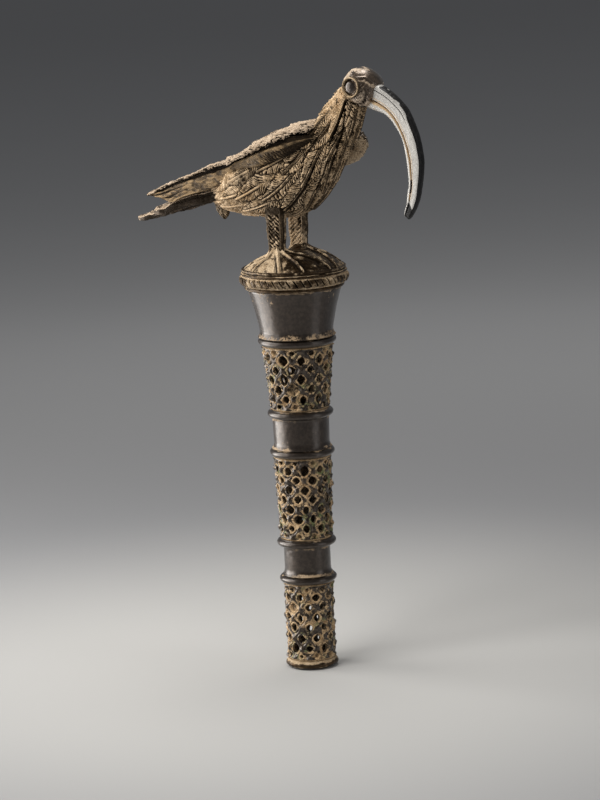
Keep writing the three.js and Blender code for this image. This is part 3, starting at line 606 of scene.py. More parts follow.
    # plain edge strips and the end faces
    for row, z_end in ((0, z0), (rows, z1)):
        ks = range(2 * cols)
        pts = []
        for k in ks:
            a, b = corner(k, row), corner(k + 1, row)
            if k + 1 == 2 * cols:
                b = b + (2 * math.pi, 0) if b[0] < a[0] else b
            for s in t8:
                pts.append(lerp(a, b, s))
        n_pts = len(pts)
        levels = []
        for layer in (0, 1):
            levels.append([table[(round((q[0] % (2 * math.pi)) * 2e4) % round(4e4 * math.pi), round(q[1] * 1e3), layer)] for q in pts])
        grit = noise(polar(r0, np.array([q[0] for q in pts]), np.full(n_pts, z_end)), 1.6, seed + 3, 2)
        o_mid = [vertex(None, polar(radius(z_end) + 0.25 + 0.1 * grit[n], q[0], lerp(q[1], z_end, 0.5)), dict(dep=0.75, rub=0, deep=0.0, verd=0.2)) for n, q in enumerate(pts)]
        # painted shade in the corner where each end strip meets the ring
        o_end = [vertex(None, polar(radius(z_end) + 0.3, q[0], z_end), dict(dep=0.7, rub=0, deep=0.45, verd=0)) for q in pts]
        i_end = [vertex(None, polar(radius(z_end) - WALL, q[0], z_end), dark) for q in pts]
        loop = [levels[0], o_mid, o_end, i_end, levels[1]]
        for a, b in zip(loop[:-1], loop[1:]):
            for n in range(n_pts):
                m = (n + 1) % n_pts
                quads.append((a[n], b[n], b[m], a[m]) if row == 0 else (a[n], a[m], b[m], b[n]))
    four = np.array([q for q in quads if len(q) == 4])
    three = np.array([q for q in quads if len(q) == 3]).reshape(-1, 3)
    return piece(name, np.array(V), [four, three], M["openwork"], "openwork", [name], **{k: np.array(v) for k, v in A.items()})


def foot_flange():
    r, neck = FOOT[2], FOOT[3]
    p = [(neck - WALL, 0), (r - 1.3, 0), (r - 0.4, 0.5), (r, 1.6), (r - 0.3, 2.7), (r - 1.1, 3.5), (neck + 0.3, 4.1), (neck + 0.2, 4.5), (neck - WALL, 4.5)]

    def relief(T, Z, R, P):
        return 0.35 * noise(P, 8, 41, 2) * step(Z, 0.3, 1.5) + 0.18 * noise(P, 1.8, 42, 2)

    def marks(T, Z, R, P, h):
        # painted shade in the crease at the flange's top, where the net begins
        return {"dep": 0.35 + 0.5 * step(Z, 2.4, 4.2) + 0.3 * noise(P, 3, 43, 2), "rub": 0.5 * bump(Z, 1.6, 0.9), "deep": step(Z, 4.0, 4.5) * 0.5}
    return lathe("foot_flange", p, 260, M["cast"], "cast_surface", ["foot_flange"], relief, marks, 0.3)


def cup():
    z0, z1, r0, r1 = CUP
    p = [(r0 - WALL, z0), (r0 + 1.9, z0), (r0 + 1.3, z0 + 0.7), (r0 + 0.7, z0 + 1.8), (r0 + 0.35, z0 + 3.4), (r0 + 0.9, z0 + 7),
         (r0 + 3.1, z0 + 17), (r0 + 5.2, z0 + 25), (r1 + 0.1, z1 - 0.8), (r1, z1), (r1 - WALL, z1), (r0 + 3.1 - WALL, z0 + 17), (r0 + 0.1 - WALL, z0 + 3.4)]

    def marks(T, Z, R, P, h):
        ragged = 1.4 * noise(P, 6, 53, 3) + 0.5 * noise(P, 1.8, 57, 2)
        patch = 0.78 + 0.5 * noise(P * (1, 1, 0.2), 12, 58, 2)
        low = step(5.4 - (Z - z0) + ragged, 0, 5.0) * 0.85 * (0.35 + 0.65 * patch) * (0.88 + 0.5 * noise(P, 0.9, 59, 2))
        drip = 1.6 + 1.9 * np.maximum(0, noise(P * (1, 1, 0.15), 7, 54, 2))
        high = step(drip - (z1 - Z) + ragged * 0.5, 0, 1.5) * 0.85 * patch
        specks = step(noise(P, 1.4, 55), 0.68, 0.95) * 0.6 * step(noise(P, 12, 56), -0.2, 0.5) * np.maximum(step(Z - z0, 14, 24), step(9 - (Z - z0), 0, 5))
        # painted shade in the crease at the cup's top lip
        return {"dep": low + high + specks, "deep": step(Z - z1, -0.5, -0.1) * 0.7}
    return lathe("flared_cup", p, 360, M["smooth"], "dark_polish", ["flared_cup"], wobble(0.09, 22, 51), marks, 0.45)


def fillet(name, z0, z1, r, inner, flat, seed):
    h = (z1 - z0) / 2
    p = [(inner, z0), (r - 1.2, z0), (r - 0.3, z0 + 0.25), (r, z0 + h * 0.9), (r - 0.15, z0 + h * 1.3), (r - flat, z1), (inner, z1)]

    def marks(T, Z, R, P, h_):
        t = (Z - z0) / (z1 - z0)
        # painted shade in the creases at the fillet's top and bottom
        return {"dep": 0.3 + 0.45 * noise(P, 5, seed, 3) + 0.5 * step(np.abs(t - 0.5), 0.3, 0.5), "deep": 0.75 * step(np.abs(t - 0.5), 0.40, 0.5), "rub": 0.35 * bump(t, 0.5, 0.25)}
    return lathe(name, p, 300, M["cast"], "cast_surface", [name], wobble(0.12, 7, seed), marks, 0.22)


def rope_border():
    z0, z1, r, inner = 245.8, 252.4, 34.2, 26.7
    nth, strokes = 46 * 18, 46
    prof = [(inner, z0), (31.0, z0), (31.9, z0 + 0.2), (32.7, z0 + 0.75), (33.4, z0 + 1.6), (33.9, z0 + 2.7), (34.1, z0 + 3.7), (33.9, z0 + 4.8), (33.4, z0 + 5.7), (32.7, z0 + 6.4), (32.2, z1), (inner + 0.6, z1)]

    def relief(T, Z, R, P):
        t = (Z - z0) / (z1 - z0)
        wander = 0.10 * noise(P, 9, 71, 2)
        phase = T * strokes / (2 * np.pi) + 0.85 * t + wander
        wave = np.abs(((phase % 1) - 0.5) * 2)
        lobe = 1 - step(0.42 - wave, 0, 0.3)
        inside = step(t, 0.07, 0.18) * step(1 - t, 0.07, 0.18)
        framed = bump(t, 0.05, 0.05) + bump(t, 0.95, 0.05)
        return inside * (-1.5 * (1 - lobe) + 0.45 * lobe) + 0.28 * framed + 0.12 * noise(P, 1.6, 72, 2) - 0.30 * (bump(t, 0.11, 0.04) + bump(t, 0.89, 0.04))

    def marks(T, Z, R, P, h):
        t = (Z - z0) / (z1 - z0)
        patch = noise(P, 9, 73, 2)
        # painted light: more deposit on the side towards the key light, to the camera's left; painted shade in the
        # slits between strokes
        return {"dep": 0.42 + 0.30 * step(-(0.82 * P[..., 0] + 0.57 * P[..., 1]) / 34, 0.1, 0.8) + 0.35 * patch + 0.3 * (bump(t, 0.05, 0.06) + bump(t, 0.95, 0.06)), "deep": step(-h, 0.15, 0.7), "rub": 0.2 * step(h, 0.2, 0.4)}
    return lathe("rope_border", prof, nth, M["cast"], "cast_surface", ["rope_border"], relief, marks, 0.32)


MOUND = [(0, 266.4), (8, 265.9), (15, 264.5), (22, 261.9), (26.5, 259.4), (29.3, 257.2), (31.3, 255.7)]


def mound_z(r):
    return np.interp(r, [m[0] for m in MOUND], [m[1] for m in MOUND])


def platform():
    # disc heightfield with a raised lip, thickened to a shell
    nr, nth = 110, 300
    rr = np.linspace(0.4, 32.9, nr)
    th = np.linspace(0, 2 * np.pi, nth, endpoint=False)
    R, T = np.meshgrid(rr, th, indexing="ij")
    base = np.where(R < 31, mound_z(np.minimum(R, 31)), 255.8)
    sm = blur(np.repeat(mound_z(rr)[:, None], 3, 1), 5, 0)[:, 0]
    base = np.where(R < 30.2, sm[:, None], base)
    P = polar(R, T, base)
    lip = 0.75 * bump(R, 32.0, 0.7) - 0.9 * bump(R, 30.4, 0.55)
    z = base + lip + 0.22 * noise(P, 7, 81, 2) + 0.12 * noise(P, 1.6, 82, 2)
    z = np.minimum(z, 267.0)
    edge_r = R + 0.25 * noise(P, 10, 83, 2) * step(R, 30, 32.5)
    top = polar(edge_r, T, z)
    low = polar(np.full(nth, 32.4), th, np.full(nth, 254.2))
    lo2 = polar(np.full(nth, 27.3), th, np.full(nth, 254.2))
    V = [top.reshape(-1, 3), low, lo2]
    inner_r = np.array([24, 18, 10, 0.4])
    inner_z = np.array([256.2, 259.8, 263, 263.8])
    for a, b in zip(inner_r, inner_z):
        V.append(polar(np.full(nth, a), th, np.full(nth, b)))
    n0 = nr * nth
    V.append(np.array([[0, 0, z[0].mean()], [0, 0, 263.8]]))
    V = np.concatenate(V)
    F = [grid_quads(nr, nth, False, True)]
    rings = [np.arange(nth) + (nr - 1) * nth] + [np.arange(nth) + n0 + k * nth for k in range(6)]
    for a, b in zip(rings[:-1], rings[1:]):
        F.append(np.stack([a, b, np.roll(b, -1), np.roll(a, -1)], -1))
    c_top, c_in = len(V) - 2, len(V) - 1
    first = np.arange(nth)
    F.append(np.stack([np.full(nth, c_top), first, np.roll(first, -1)], -1))
    F.append(np.stack([np.full(nth, c_in), np.roll(rings[-1], -1), rings[-1]], -1))
    # painted shade: deep darkens the groove inside the lip and the hidden underside
    cav = np.concatenate([(bump(R, 30.3, 0.6)).reshape(-1), np.full(len(V) - n0, 0.9)])
    # painted shade: less deposit on the side away from the key light, to the camera's right, where the bird shades the
    # mound; more again near the far right rim
    across = (0.82 * P[..., 0] + 0.57 * P[..., 1]) / 33
    silt_and_side_shade = 0.47 - 0.32 * step(across, -0.28, 0.12) + 0.30 * step(across, 0.45, 0.8) * step(R, 24, 29)
    dep = np.concatenate([(silt_and_side_shade + 0.3 * noise(P, 6, 84, 3) - 0.25 * bump(R, 32.2, 0.6)).reshape(-1), np.full(len(V) - n0, 0.2)])
    F3 = [f for f in F if f.shape[1] == 3]
    F4 = [f for f in F if f.shape[1] == 4]
    return piece("platform_mound", V, [np.concatenate(F4), np.concatenate(F3)], M["cast"], "cast_surface", ["platform_mound"], dep=dep, deep=cav * 0.85, rub=0.35 * np.concatenate([bump(R, 32.1, 0.5).reshape(-1), np.zeros(len(V) - n0)]))


foot_flange()
openwork("lower_openwork_sleeve", LATTICE_LOW, 11, 1.0)
moulding("ring_below_lower_band", RING_1, LATTICE_LOW[3], BAND_LOW[2], 2)
band("lower_plain_band", BAND_LOW, 3)
moulding("ring_above_lower_band", RING_2, BAND_LOW[3], LATTICE_MID[2], 4)
openwork("middle_openwork_sleeve", LATTICE_MID, 12, 0.9)
moulding("ring_below_upper_band", RING_3, LATTICE_MID[3], BAND_HIGH[2], 5)
band("upper_plain_band", BAND_HIGH, 6)
moulding("ring_above_upper_band", RING_4, BAND_HIGH[3], LATTICE_HIGH[2], 7)
openwork("upper_openwork_sleeve", LATTICE_HIGH, 13, 0.6)
moulding("ring_below_cup", RING_5, LATTICE_HIGH[3], CUP[2], 8)
cup()
fillet("cup_lower_fillet", 243.4, 245.8, 31.5, 26.7, 0.7, 91)
rope_border()
fillet("cup_upper_fillet", 252.4, 254.2, 33.6, 27.3, 1.0, 92)
platform()

# ------------------------------------------------------------------ bird
BODY = [
    (-56.5, 306.5, -56.5, 299, 7.0), (-52, 313, -53.5, 294.5, 12.0), (-40, 318, -42, 290.5, 16.0), (-26, 324, -27, 288, 18.5),
    (-10, 330.5, -8, 287.5, 19.8), (4, 336.5, 9.5, 290.0, 20.2), (14, 341.5, 21.8, 298, 19.2), (21.5, 346.5, 30.0, 307.4, 17.0), (27, 351.5, 36.6, 317.6, 14.6),
    (32, 357, 43.6, 328.6, 12.3), (37, 362, 50.4, 339, 10.8), (42, 367, 55.4, 350, 9.7), (45.5, 370, 58.5, 356.5, 8.8), (50, 371.5, 62.5, 361.5, 7.4)]


def body_point(t, phi, side):
    """t runs from the rump (0) to under the head (12), phi from the back (0) to the belly (180 degrees)."""
    R = spline(BODY, t)
    c, s = np.cos(phi), np.abs(np.sin(phi)) ** 0.94
    x = (R[..., 0] + R[..., 2]) / 2 + (R[..., 0] - R[..., 2]) / 2 * c
    z = (R[..., 1] + R[..., 3]) / 2 + (R[..., 1] - R[..., 3]) / 2 * c
    return np.stack([x, side * R[..., 4] * s, z], -1)


# quills from root to tip as (t, phi in degrees), then the vane's half-width in mm; rear ones first, each later one overlaps them
QUILLS = [
    ([(3.3, 52), (2.2, 68), (1.3, 85)], 6.0), ([(3.2, 150), (2.2, 158), (1.3, 166)], 6.0), ([(2.6, 120), (1.7, 124), (1.0, 130)], 5.5),
    ([(4.0, 92), (2.9, 101), (1.9, 110)], 6.2), ([(4.7, 52), (3.6, 64), (2.6, 77)], 6.2), ([(3.9, 118), (2.85, 125.5), (1.6, 141)], 5.6),
    ([(4.8, 146), (3.6, 152), (2.6, 162)], 6.0), ([(5.3, 77), (3.95, 92.5), (2.85, 110)], 6.8), ([(5.5, 113), (4.15, 123), (2.9, 141)], 6.2),
    ([(5.9, 158), (4.9, 165), (4.0, 172)], 6.0), ([(5.9, 55), (4.9, 62), (4.0, 70)], 6.0), ([(7.0, 89), (5.45, 96.5), (4.0, 116)], 7.2),
    ([(7.3, 77), (6.2, 79), (5.2, 85)], 6.0), ([(7.0, 122), (5.7, 130), (4.4, 146)], 6.6), ([(7.4, 149), (6.35, 152.5), (5.3, 168)], 5.2),
    ([(7.2, 172), (6.3, 176), (5.4, 179)], 5.0), ([(8.8, 102), (7.65, 107), (6.0, 122)], 6.6), ([(8.4, 60), (7.3, 60), (6.3, 62)], 6.0),
    ([(9.1, 141), (8.2, 145), (6.6, 168)], 5.2), ([(9.0, 166), (8.0, 175), (6.9, 179)], 4.6), ([(10.3, 87), (8.75, 87), (7.1, 82)], 5.6),
    ([(10.6, 132), (9.35, 129.5), (8.1, 131.5)], 5.0), ([(10.3, 151), (9.2, 162), (8.2, 170)], 4.6), ([(10.3, 62), (9.2, 60), (8.0, 58)], 5.2),
    ([(10.6, 14), (9.6, 12), (8.6, 11)], 4.8), ([(11.2, 172), (10.2, 175), (9.2, 178)], 4.2), ([(11.9, 142), (10.6, 151), (9.7, 156)], 4.2),
    ([(11.6, 118), (10.7, 120), (9.9, 119)], 4.0), ([(12.0, 84), (10.7, 98), (8.9, 110)], 4.8), ([(11.5, 54), (9.9, 37), (8.5, 34)], 5.0),
    ([(12.0, 30), (11.2, 22), (10.4, 14)], 4.4)]


CUTS = [([(4.75, 142), (5.55, 132), (6.3, 126), (7.4, 114)], 0.85), ([(6.43, 91), (7.33, 84), (8.28, 84)], 0.9), ([(7.83, 156), (8.95, 142), (10.08, 125), (11.05, 104)], 0.9),
        ([(11.65, 90), (10.8, 101), (10.03, 106), (9.3, 112), (8.7, 117)], 0.8), ([(6.5, 150), (7.4, 143), (8.3, 134)], 0.7), ([(5.3, 69), (5.9, 76), (6.6, 69)], 0.7)]


def along(P, line):
    """Nearest place on a polyline: fraction of its length, distance, and which side."""
    seg = np.diff(line, axis=0)
    length = np.linalg.norm(seg, axis=1)
    start = np.concatenate([[0], np.cumsum(length)[:-1]])
    best = np.full(len(P), 1e9)
    u = np.zeros(len(P))
    off = np.zeros((len(P), 3))
    tan = np.zeros((len(P), 3))
    for k in range(len(seg)):
        q = P - line[k]
        f = np.clip(q @ seg[k] / length[k] ** 2, 0, 1)
        d = q - f[:, None] * seg[k]
        n = np.linalg.norm(d, axis=1)
        m = n < best
        best[m], u[m], off[m], tan[m] = n[m], (start[k] + f[m] * length[k]) / length.sum(), d[m], seg[k] / length[k]
    return u, best, off, tan, length.sum()


def plumage(side):
    nu, nv = 450, 172
    # even spacing along the flank
    top_t = len(BODY) - 1
    tt = np.linspace(0, top_t, 400)
    mid = body_point(tt, np.full(400, math.radians(100)), 1)
    run = np.concatenate([[0], np.cumsum(np.linalg.norm(np.diff(mid, axis=0), axis=1))])
    t = np.interp(np.linspace(0, run[-1], nu), run, tt)
    T, PH = np.meshgrid(t, np.linspace(0, np.pi, nv), indexing="ij")
    P = body_point(T, PH, side)
    N = grid_normals(P)
    if np.mean(N[..., 1]) * side < 0:
        N = -N
    flat, normal = P.reshape(-1, 3), N.reshape(-1, 3)
    mirror = flat * (1, side, 1)
    rng = np.random.default_rng(40 + side)
    n1 = noise(mirror, 1.0, 101 + side, 2)
    n2 = noise(mirror, 1.9, 102 + side, 2)
    n3 = noise(mirror, 3.4, 104 + side, 2)
    n9 = noise(mirror, 11, 107 + side, 2)
    H = np.full(len(flat), -0.35)
    rub, deep, dep = np.zeros(len(flat)), np.full(len(flat), 0.3), np.full(len(flat), 0.45)
    near = np.full(len(flat), 1e9)
    for pts, width in QUILLS:
        pts = np.array(pts, float)
        if side > 0:
            pts = pts + rng.uniform(-1, 1, pts.shape) * (0.12, 2.2)
            pts[:, 1] = np.minimum(pts[:, 1], 179)
        q = spline(pts, np.linspace(0, 2, 9))
        line = body_point(q[:, 0], np.radians(q[:, 1]), side)
        mask = np.linalg.norm(flat - line.mean(0), axis=1) < np.linalg.norm(line[0] - line[-1]) / 2 + width + 7
        idx = np.nonzero(mask)[0]
        u, d, off, tan, L = along(flat[idx], line)
        sign = np.sign(np.einsum("ij,ij->i", np.cross(normal[idx], tan), off)) * side
        shape = np.where(u < 0.35, 0.72 + 0.28 * (u / 0.35), 1 - (np.maximum(u - 0.35, 0) / 0.65) ** 2.4)
        w = width * shape * (1 + 0.14 * n3[idx])
        pitch = 1.65 + 0.3 * n9[idx]
        slope = np.where(sign > 0, 1.15, 0.8)
        phase = (u * L - d * slope) / pitch + 0.48 * n3[idx] + 0.34 * n2[idx] + 0.12 * n1[idx] + 0.5 * (sign > 0)
        b = 0.5 + 0.5 * np.cos(2 * np.pi * phase)
        # barbs break up into crumbs in places
        crumb = 0.5 + 0.5 * np.clip(n2[idx] * 1.3, -1, 1)
        b = step(np.clip(lerp(b, crumb, 0.48), 0, 1), 0.14, 0.80)
        vane = step(d, 0.6, 1.4)
        # in the rear half the rods show only towards the tips
        start = 0.42 * step(5.6 - pts[:, 0].mean(), 0, 1.6)
        rod = step(u, start, start + 0.2) * step(1 - u, 0.0, 0.05)
        ridge = np.exp(-((d / 0.40) ** 4)) * rod
        cut = bump(d, 1.05, 0.42) * lerp(0.25, 1.0, rod)
        lift = 0.0 + 0.95 * u**1.3
        h = lift + lerp(vane, 1.0, 1 - rod) * (0.95 * (b - 0.6) + 0.30 * n1[idx]) + 0.60 * ridge - 0.45 * cut
        h = h - 0.45 * step(d / np.maximum(w, 0.1), 0.80, 1.0)
        inside = d < w
        ring = (d >= w) & (d < w + 1.0) & (u > 0.1)
        # outside every vane so far: the nearest quill's barbs carry on, lower
        loose = ~inside & (d / width < near[idx]) & (near[idx] > 1)
        j = idx[loose]
        near[j] = (d / width)[loose]
        H[j] = -0.35 + (0.9 * (b - 0.6) + 0.3 * n1[idx])[loose]
        # painted shade and dark patina in the gaps between the barbs
        deep[j] = (0.95 * (1 - b) ** 1.1)[loose]
        dep[j] = (0.36 + 0.42 * b)[loose]
        rub[j] = 0
        # painted shadow just outside each vane, on the feathers it overlaps
        j = idx[ring]
        fall = 1 - (d[ring] - w[ring]) / 1.0
        H[j] = H[j] - 0.45 * fall
        deep[j] = np.maximum(deep[j], 0.95 * fall)
        j = idx[inside]
        near[j] = 0
        H[j] = h[inside]
        # painted highlight: in the rear half the rods are painted pale, as if they caught the light; further forward
        # they stay rubbed dark metal. Painted shade and dark patina in the barb gaps, painted shade in the cut beside
        # each rod
        hind_rod_highlight = step(5.9 - pts[:, 0].mean(), 0, 1.2)
        rub[j] = (lerp(0.8, 0.0, hind_rod_highlight) * ridge)[inside]
        deep[j] = np.maximum(0.95 * np.clip(1.05 - 1.6 * b, 0, 1) * vane, 1.0 * cut)[inside]
        dep[j] = (0.34 + 0.42 * b + 0.10 * n9[idx] + 0.25 * step(d / np.maximum(w, 0.1), 0.7, 0.9) + 0.55 * hind_rod_highlight * ridge)[inside]
        deep[j] = deep[j] * (1 - 0.8 * (hind_rod_highlight * ridge)[inside])
    # raised edge where the flank ends, in front of the rump; painted highlight: its crest is painted pale as if it
    # caught the light, and painted shade fills the hollow in front of it
    line = body_point(*(lambda a: (a[:, 0], np.radians(a[:, 1])))(spline([(2.80, 42), (2.52, 64), (2.36, 83), (2.22, 98), (2.12, 110)], np.linspace(0, 4, 17))), side)
    u, d, off, tan, L = along(flat, line)
    front = np.sign(np.einsum("ij,ij->i", tan, np.cross(off, normal))) * side
    edge = np.exp(-((d / 1.1) ** 2)) * step(1 - u, 0, 0.25)
    H = H + 1.3 * edge
    dep = dep + 0.9 * edge
    deep = deep * (1 - 0.9 * edge)
    rub = rub * (1 - edge)
    hollow = bump(d, 2.0, 1.1) * (front > 0) * step(1 - u, 0.1, 0.5)
    H = H - 0.5 * hollow
    deep = np.maximum(deep * (1 - 0.8 * edge), 0.85 * hollow)
    # paler on the rump, rear flank and back of the neck, darker on the breast: partly where deposit gathers, partly
    # painted light on the lit rear flank and neck and painted shade on the breast
    t_, ph = T.reshape(-1), np.degrees(PH.reshape(-1))
    # the flank swells out over the wing's lower edge
    H = H + 3.4 * bump(ph, 66, 34) * step(t_, 1.5, 2.5) * step(5.4 - t_, 0, 1.8)
    rear = step(4.4 - t_, 0, 1.8)
    nape = step(t_, 8.6, 10.2) * step(98 - ph - 4 * (12 - t_), 0, 16)
    breast = step(t_, 4.2, 6.0) * (1 - nape)
    shade = step(50 - ph, 0, 14) * step(t_, 2.9, 3.6) * step(8.6 - t_, 0, 0.9)
    # painted shade on the upper rear flank, under the wing plate, with less deposit there
    under_plate_shade = np.zeros_like(shade)
    under_plate_shade = np.maximum(under_plate_shade, step(103 + 4 * n9 - ph, 0, 16) * step(t_, 2.75, 3.2) * step(5.0 - t_ - 0.02 * (ph - 60), 0, 0.9) * (0.8 + 0.35 * n3))
    dep = dep - 0.42 * under_plate_shade - 0.04 * step(t_, 4.6, 6.4) * (1 - nape)
    shade = np.maximum(shade, (0.62 + 0.35 * step(84 - ph, 0, 14)) * under_plate_shade)
    dep = dep + 0.20 * rear + 0.62 * nape - 0.04 * breast + 0.18 * n9
    rump = step(2.3 - t_, 0, 0.5)
    deep = deep * (1 - 0.45 * rear) * (1 - 0.60 * nape) * 0.9
    deep = deep + (0.30 * bump(t_, 4.7, 1.4) + 0.08 * n9) * (1 - nape)
    deep = np.maximum(deep, 0.80 * shade)
    # painted shadow on the throat, under the head
    deep = np.maximum(deep, 0.70 * step(t_, 11.2, 12.2) * step(ph, 100, 118) * (0.7 + 0.5 * n2))
    dep = dep + 0.2 * rump + 0.25 * step(t_, 1.6, 2.1) * step(3.7 - t_, 0, 0.6) * bump(ph, 98, 24)
    # long cuts between the feathers of breast and neck, darkened with painted shade, and the edge that stands beside
    # one of them, painted pale, partly deposit and partly a painted highlight
    for pts, wide in CUTS:
        pts = np.array(pts, float)
        q = spline(pts, np.linspace(0, len(pts) - 1, 6 * len(pts)))
        u, d, off, tan, L = along(flat, body_point(q[:, 0], np.radians(q[:, 1]), side))
        cut = bump(d, 0, 0.74 * wide) * step(1 - u, 0, 0.06) * step(u, 0, 0.06)
        H = H - 0.9 * cut + 0.35 * bump(d, wide + 0.9, 0.7) * step(1 - u, 0, 0.1) * step(u, 0, 0.1)
        dep, deep = dep - 0.35 * cut, np.maximum(deep, 0.85 * cut)
    pts = np.array([(11.7, 78), (10.8, 90), (10.03, 95), (9.3, 101), (8.75, 107)], float)
    q = spline(pts, np.linspace(0, len(pts) - 1, 30))
    u, d, off, tan, L = along(flat, body_point(q[:, 0], np.radians(q[:, 1]), side))
    edge = np.exp(-((d / 1.0) ** 2)) * step(1 - u, 0, 0.12)
    H, dep, deep = H + 1.2 * edge, dep + 1.4 * edge, deep * (1 - 0.95 * edge)
    # nape: pale, with large dark blotches
    blot = step(n3 + 0.6 * n9, 0.35, 0.75) * nape
    dep, deep = dep + 0.12 * nape - 0.5 * blot, np.maximum(deep * (1 - 0.25 * nape), 0.75 * blot)
    H = H.reshape(nu, nv)
    V = P + N * H[..., None]
    V[:, 0, 1] = V[:, -1, 1] = 0
    # painted shade in the hollows of the relief
    cav = blur(H, 3, 3) - H
    deep = np.clip(deep.reshape(nu, nv) + 0.5 * step(cav, 0.12, 0.5), 0, 1)
    idx = np.arange(nu * nv).reshape(nu, nv)
    seam = np.stack([idx[:-1, -1], idx[1:, -1], idx[1:, 0], idx[:-1, 0]], -1)
    V = np.concatenate([V.reshape(-1, 3), [V[0].mean(0), V[-1].mean(0)]])
    caps = [fan(np.append(idx[0][::-1], idx[0, -1]), nu * nv), fan(np.append(idx[-1], idx[-1, 0]), nu * nv + 1)]
    pad = lambda a: np.concatenate([np.asarray(a).reshape(-1), [0, 0]])
    label = "right" if side < 0 else "left"
    nodes = [f"{label}_plumage"] + (["body"] if side < 0 else [])
    return piece(f"{label}_plumage", V, [np.concatenate([grid_quads(nu, nv), seam]), np.concatenate(caps)], M["plumage"], "plumage", nodes,
                 dep=pad(dep), rub=pad(rub), deep=pad(deep))


def closed_loft(P):
    """P is (sections, points round); returns vertices and faces with fan caps."""
    nu, nv = P.shape[:2]
    idx = np.arange(nu * nv).reshape(nu, nv)
    V = np.concatenate([P.reshape(-1, 3), [P[0].mean(0), P[-1].mean(0)]])
    first, final = np.append(idx[0], idx[0, 0]), np.append(idx[-1], idx[-1, 0])
    return V, [grid_quads(nu, nv, False, True), np.concatenate([fan(first[::-1], nu * nv), fan(final, nu * nv + 1)])]


def relieved(P, H, outward=None):
    N = grid_normals(P, False, True)
    centre = P.mean(axis=1, keepdims=True)
    if np.mean(np.einsum("ijk,ijk->ij", N, P - centre)) < 0:
        N = -N
    return P + N * H[..., None]


def pad2(a):
    return np.concatenate([np.asarray(a, float).reshape(-1), [float(np.mean(a))] * 2])


COVERTS = [
    (31, 0.0, 349.6, 8, 346.6, 1.0), (26, 0.0, 348.2, 15.5, 343.4, 2.4), (20, 0.0, 346.6, 19.5, 342.4, 2.8), (14, 0.0, 345.0, 22.5, 340.0, 2.9),
    (7, 0.0, 343.4, 24.4, 337.9, 3.0), (0, 0.0, 341.2, 25.0, 334.2, 3.0), (-10, 0.0, 337.4, 24.6, 331.2, 3.0), (-16, 0.0, 334.6, 24.0, 328.3, 3.0),
    (-27, 0.2, 328.0, 22.4, 324.2, 2.8), (-33, 0.4, 325.2, 21.6, 322.4, 2.7), (-44, 1.4, 320.6, 20.4, 319.8, 2.6), (-54, 2.6, 317.0, 19.5, 316.8, 2.2),
    (-62.6, 4.2, 313.6, 18.9, 313.6, 2.1), (-71, 6.2, 310.6, 18.4, 310.9, 2.0), (-79.4, 8.2, 307.6, 18.0, 308.0, 2.0), (-88, 10, 304.4, 17.5, 304.6, 2.1),
    (-95.5, 12, 301.8, 16.9, 301.9, 2.2), (-99.6, 13.4, 300.2, 16.2, 300.4, 1.5)]


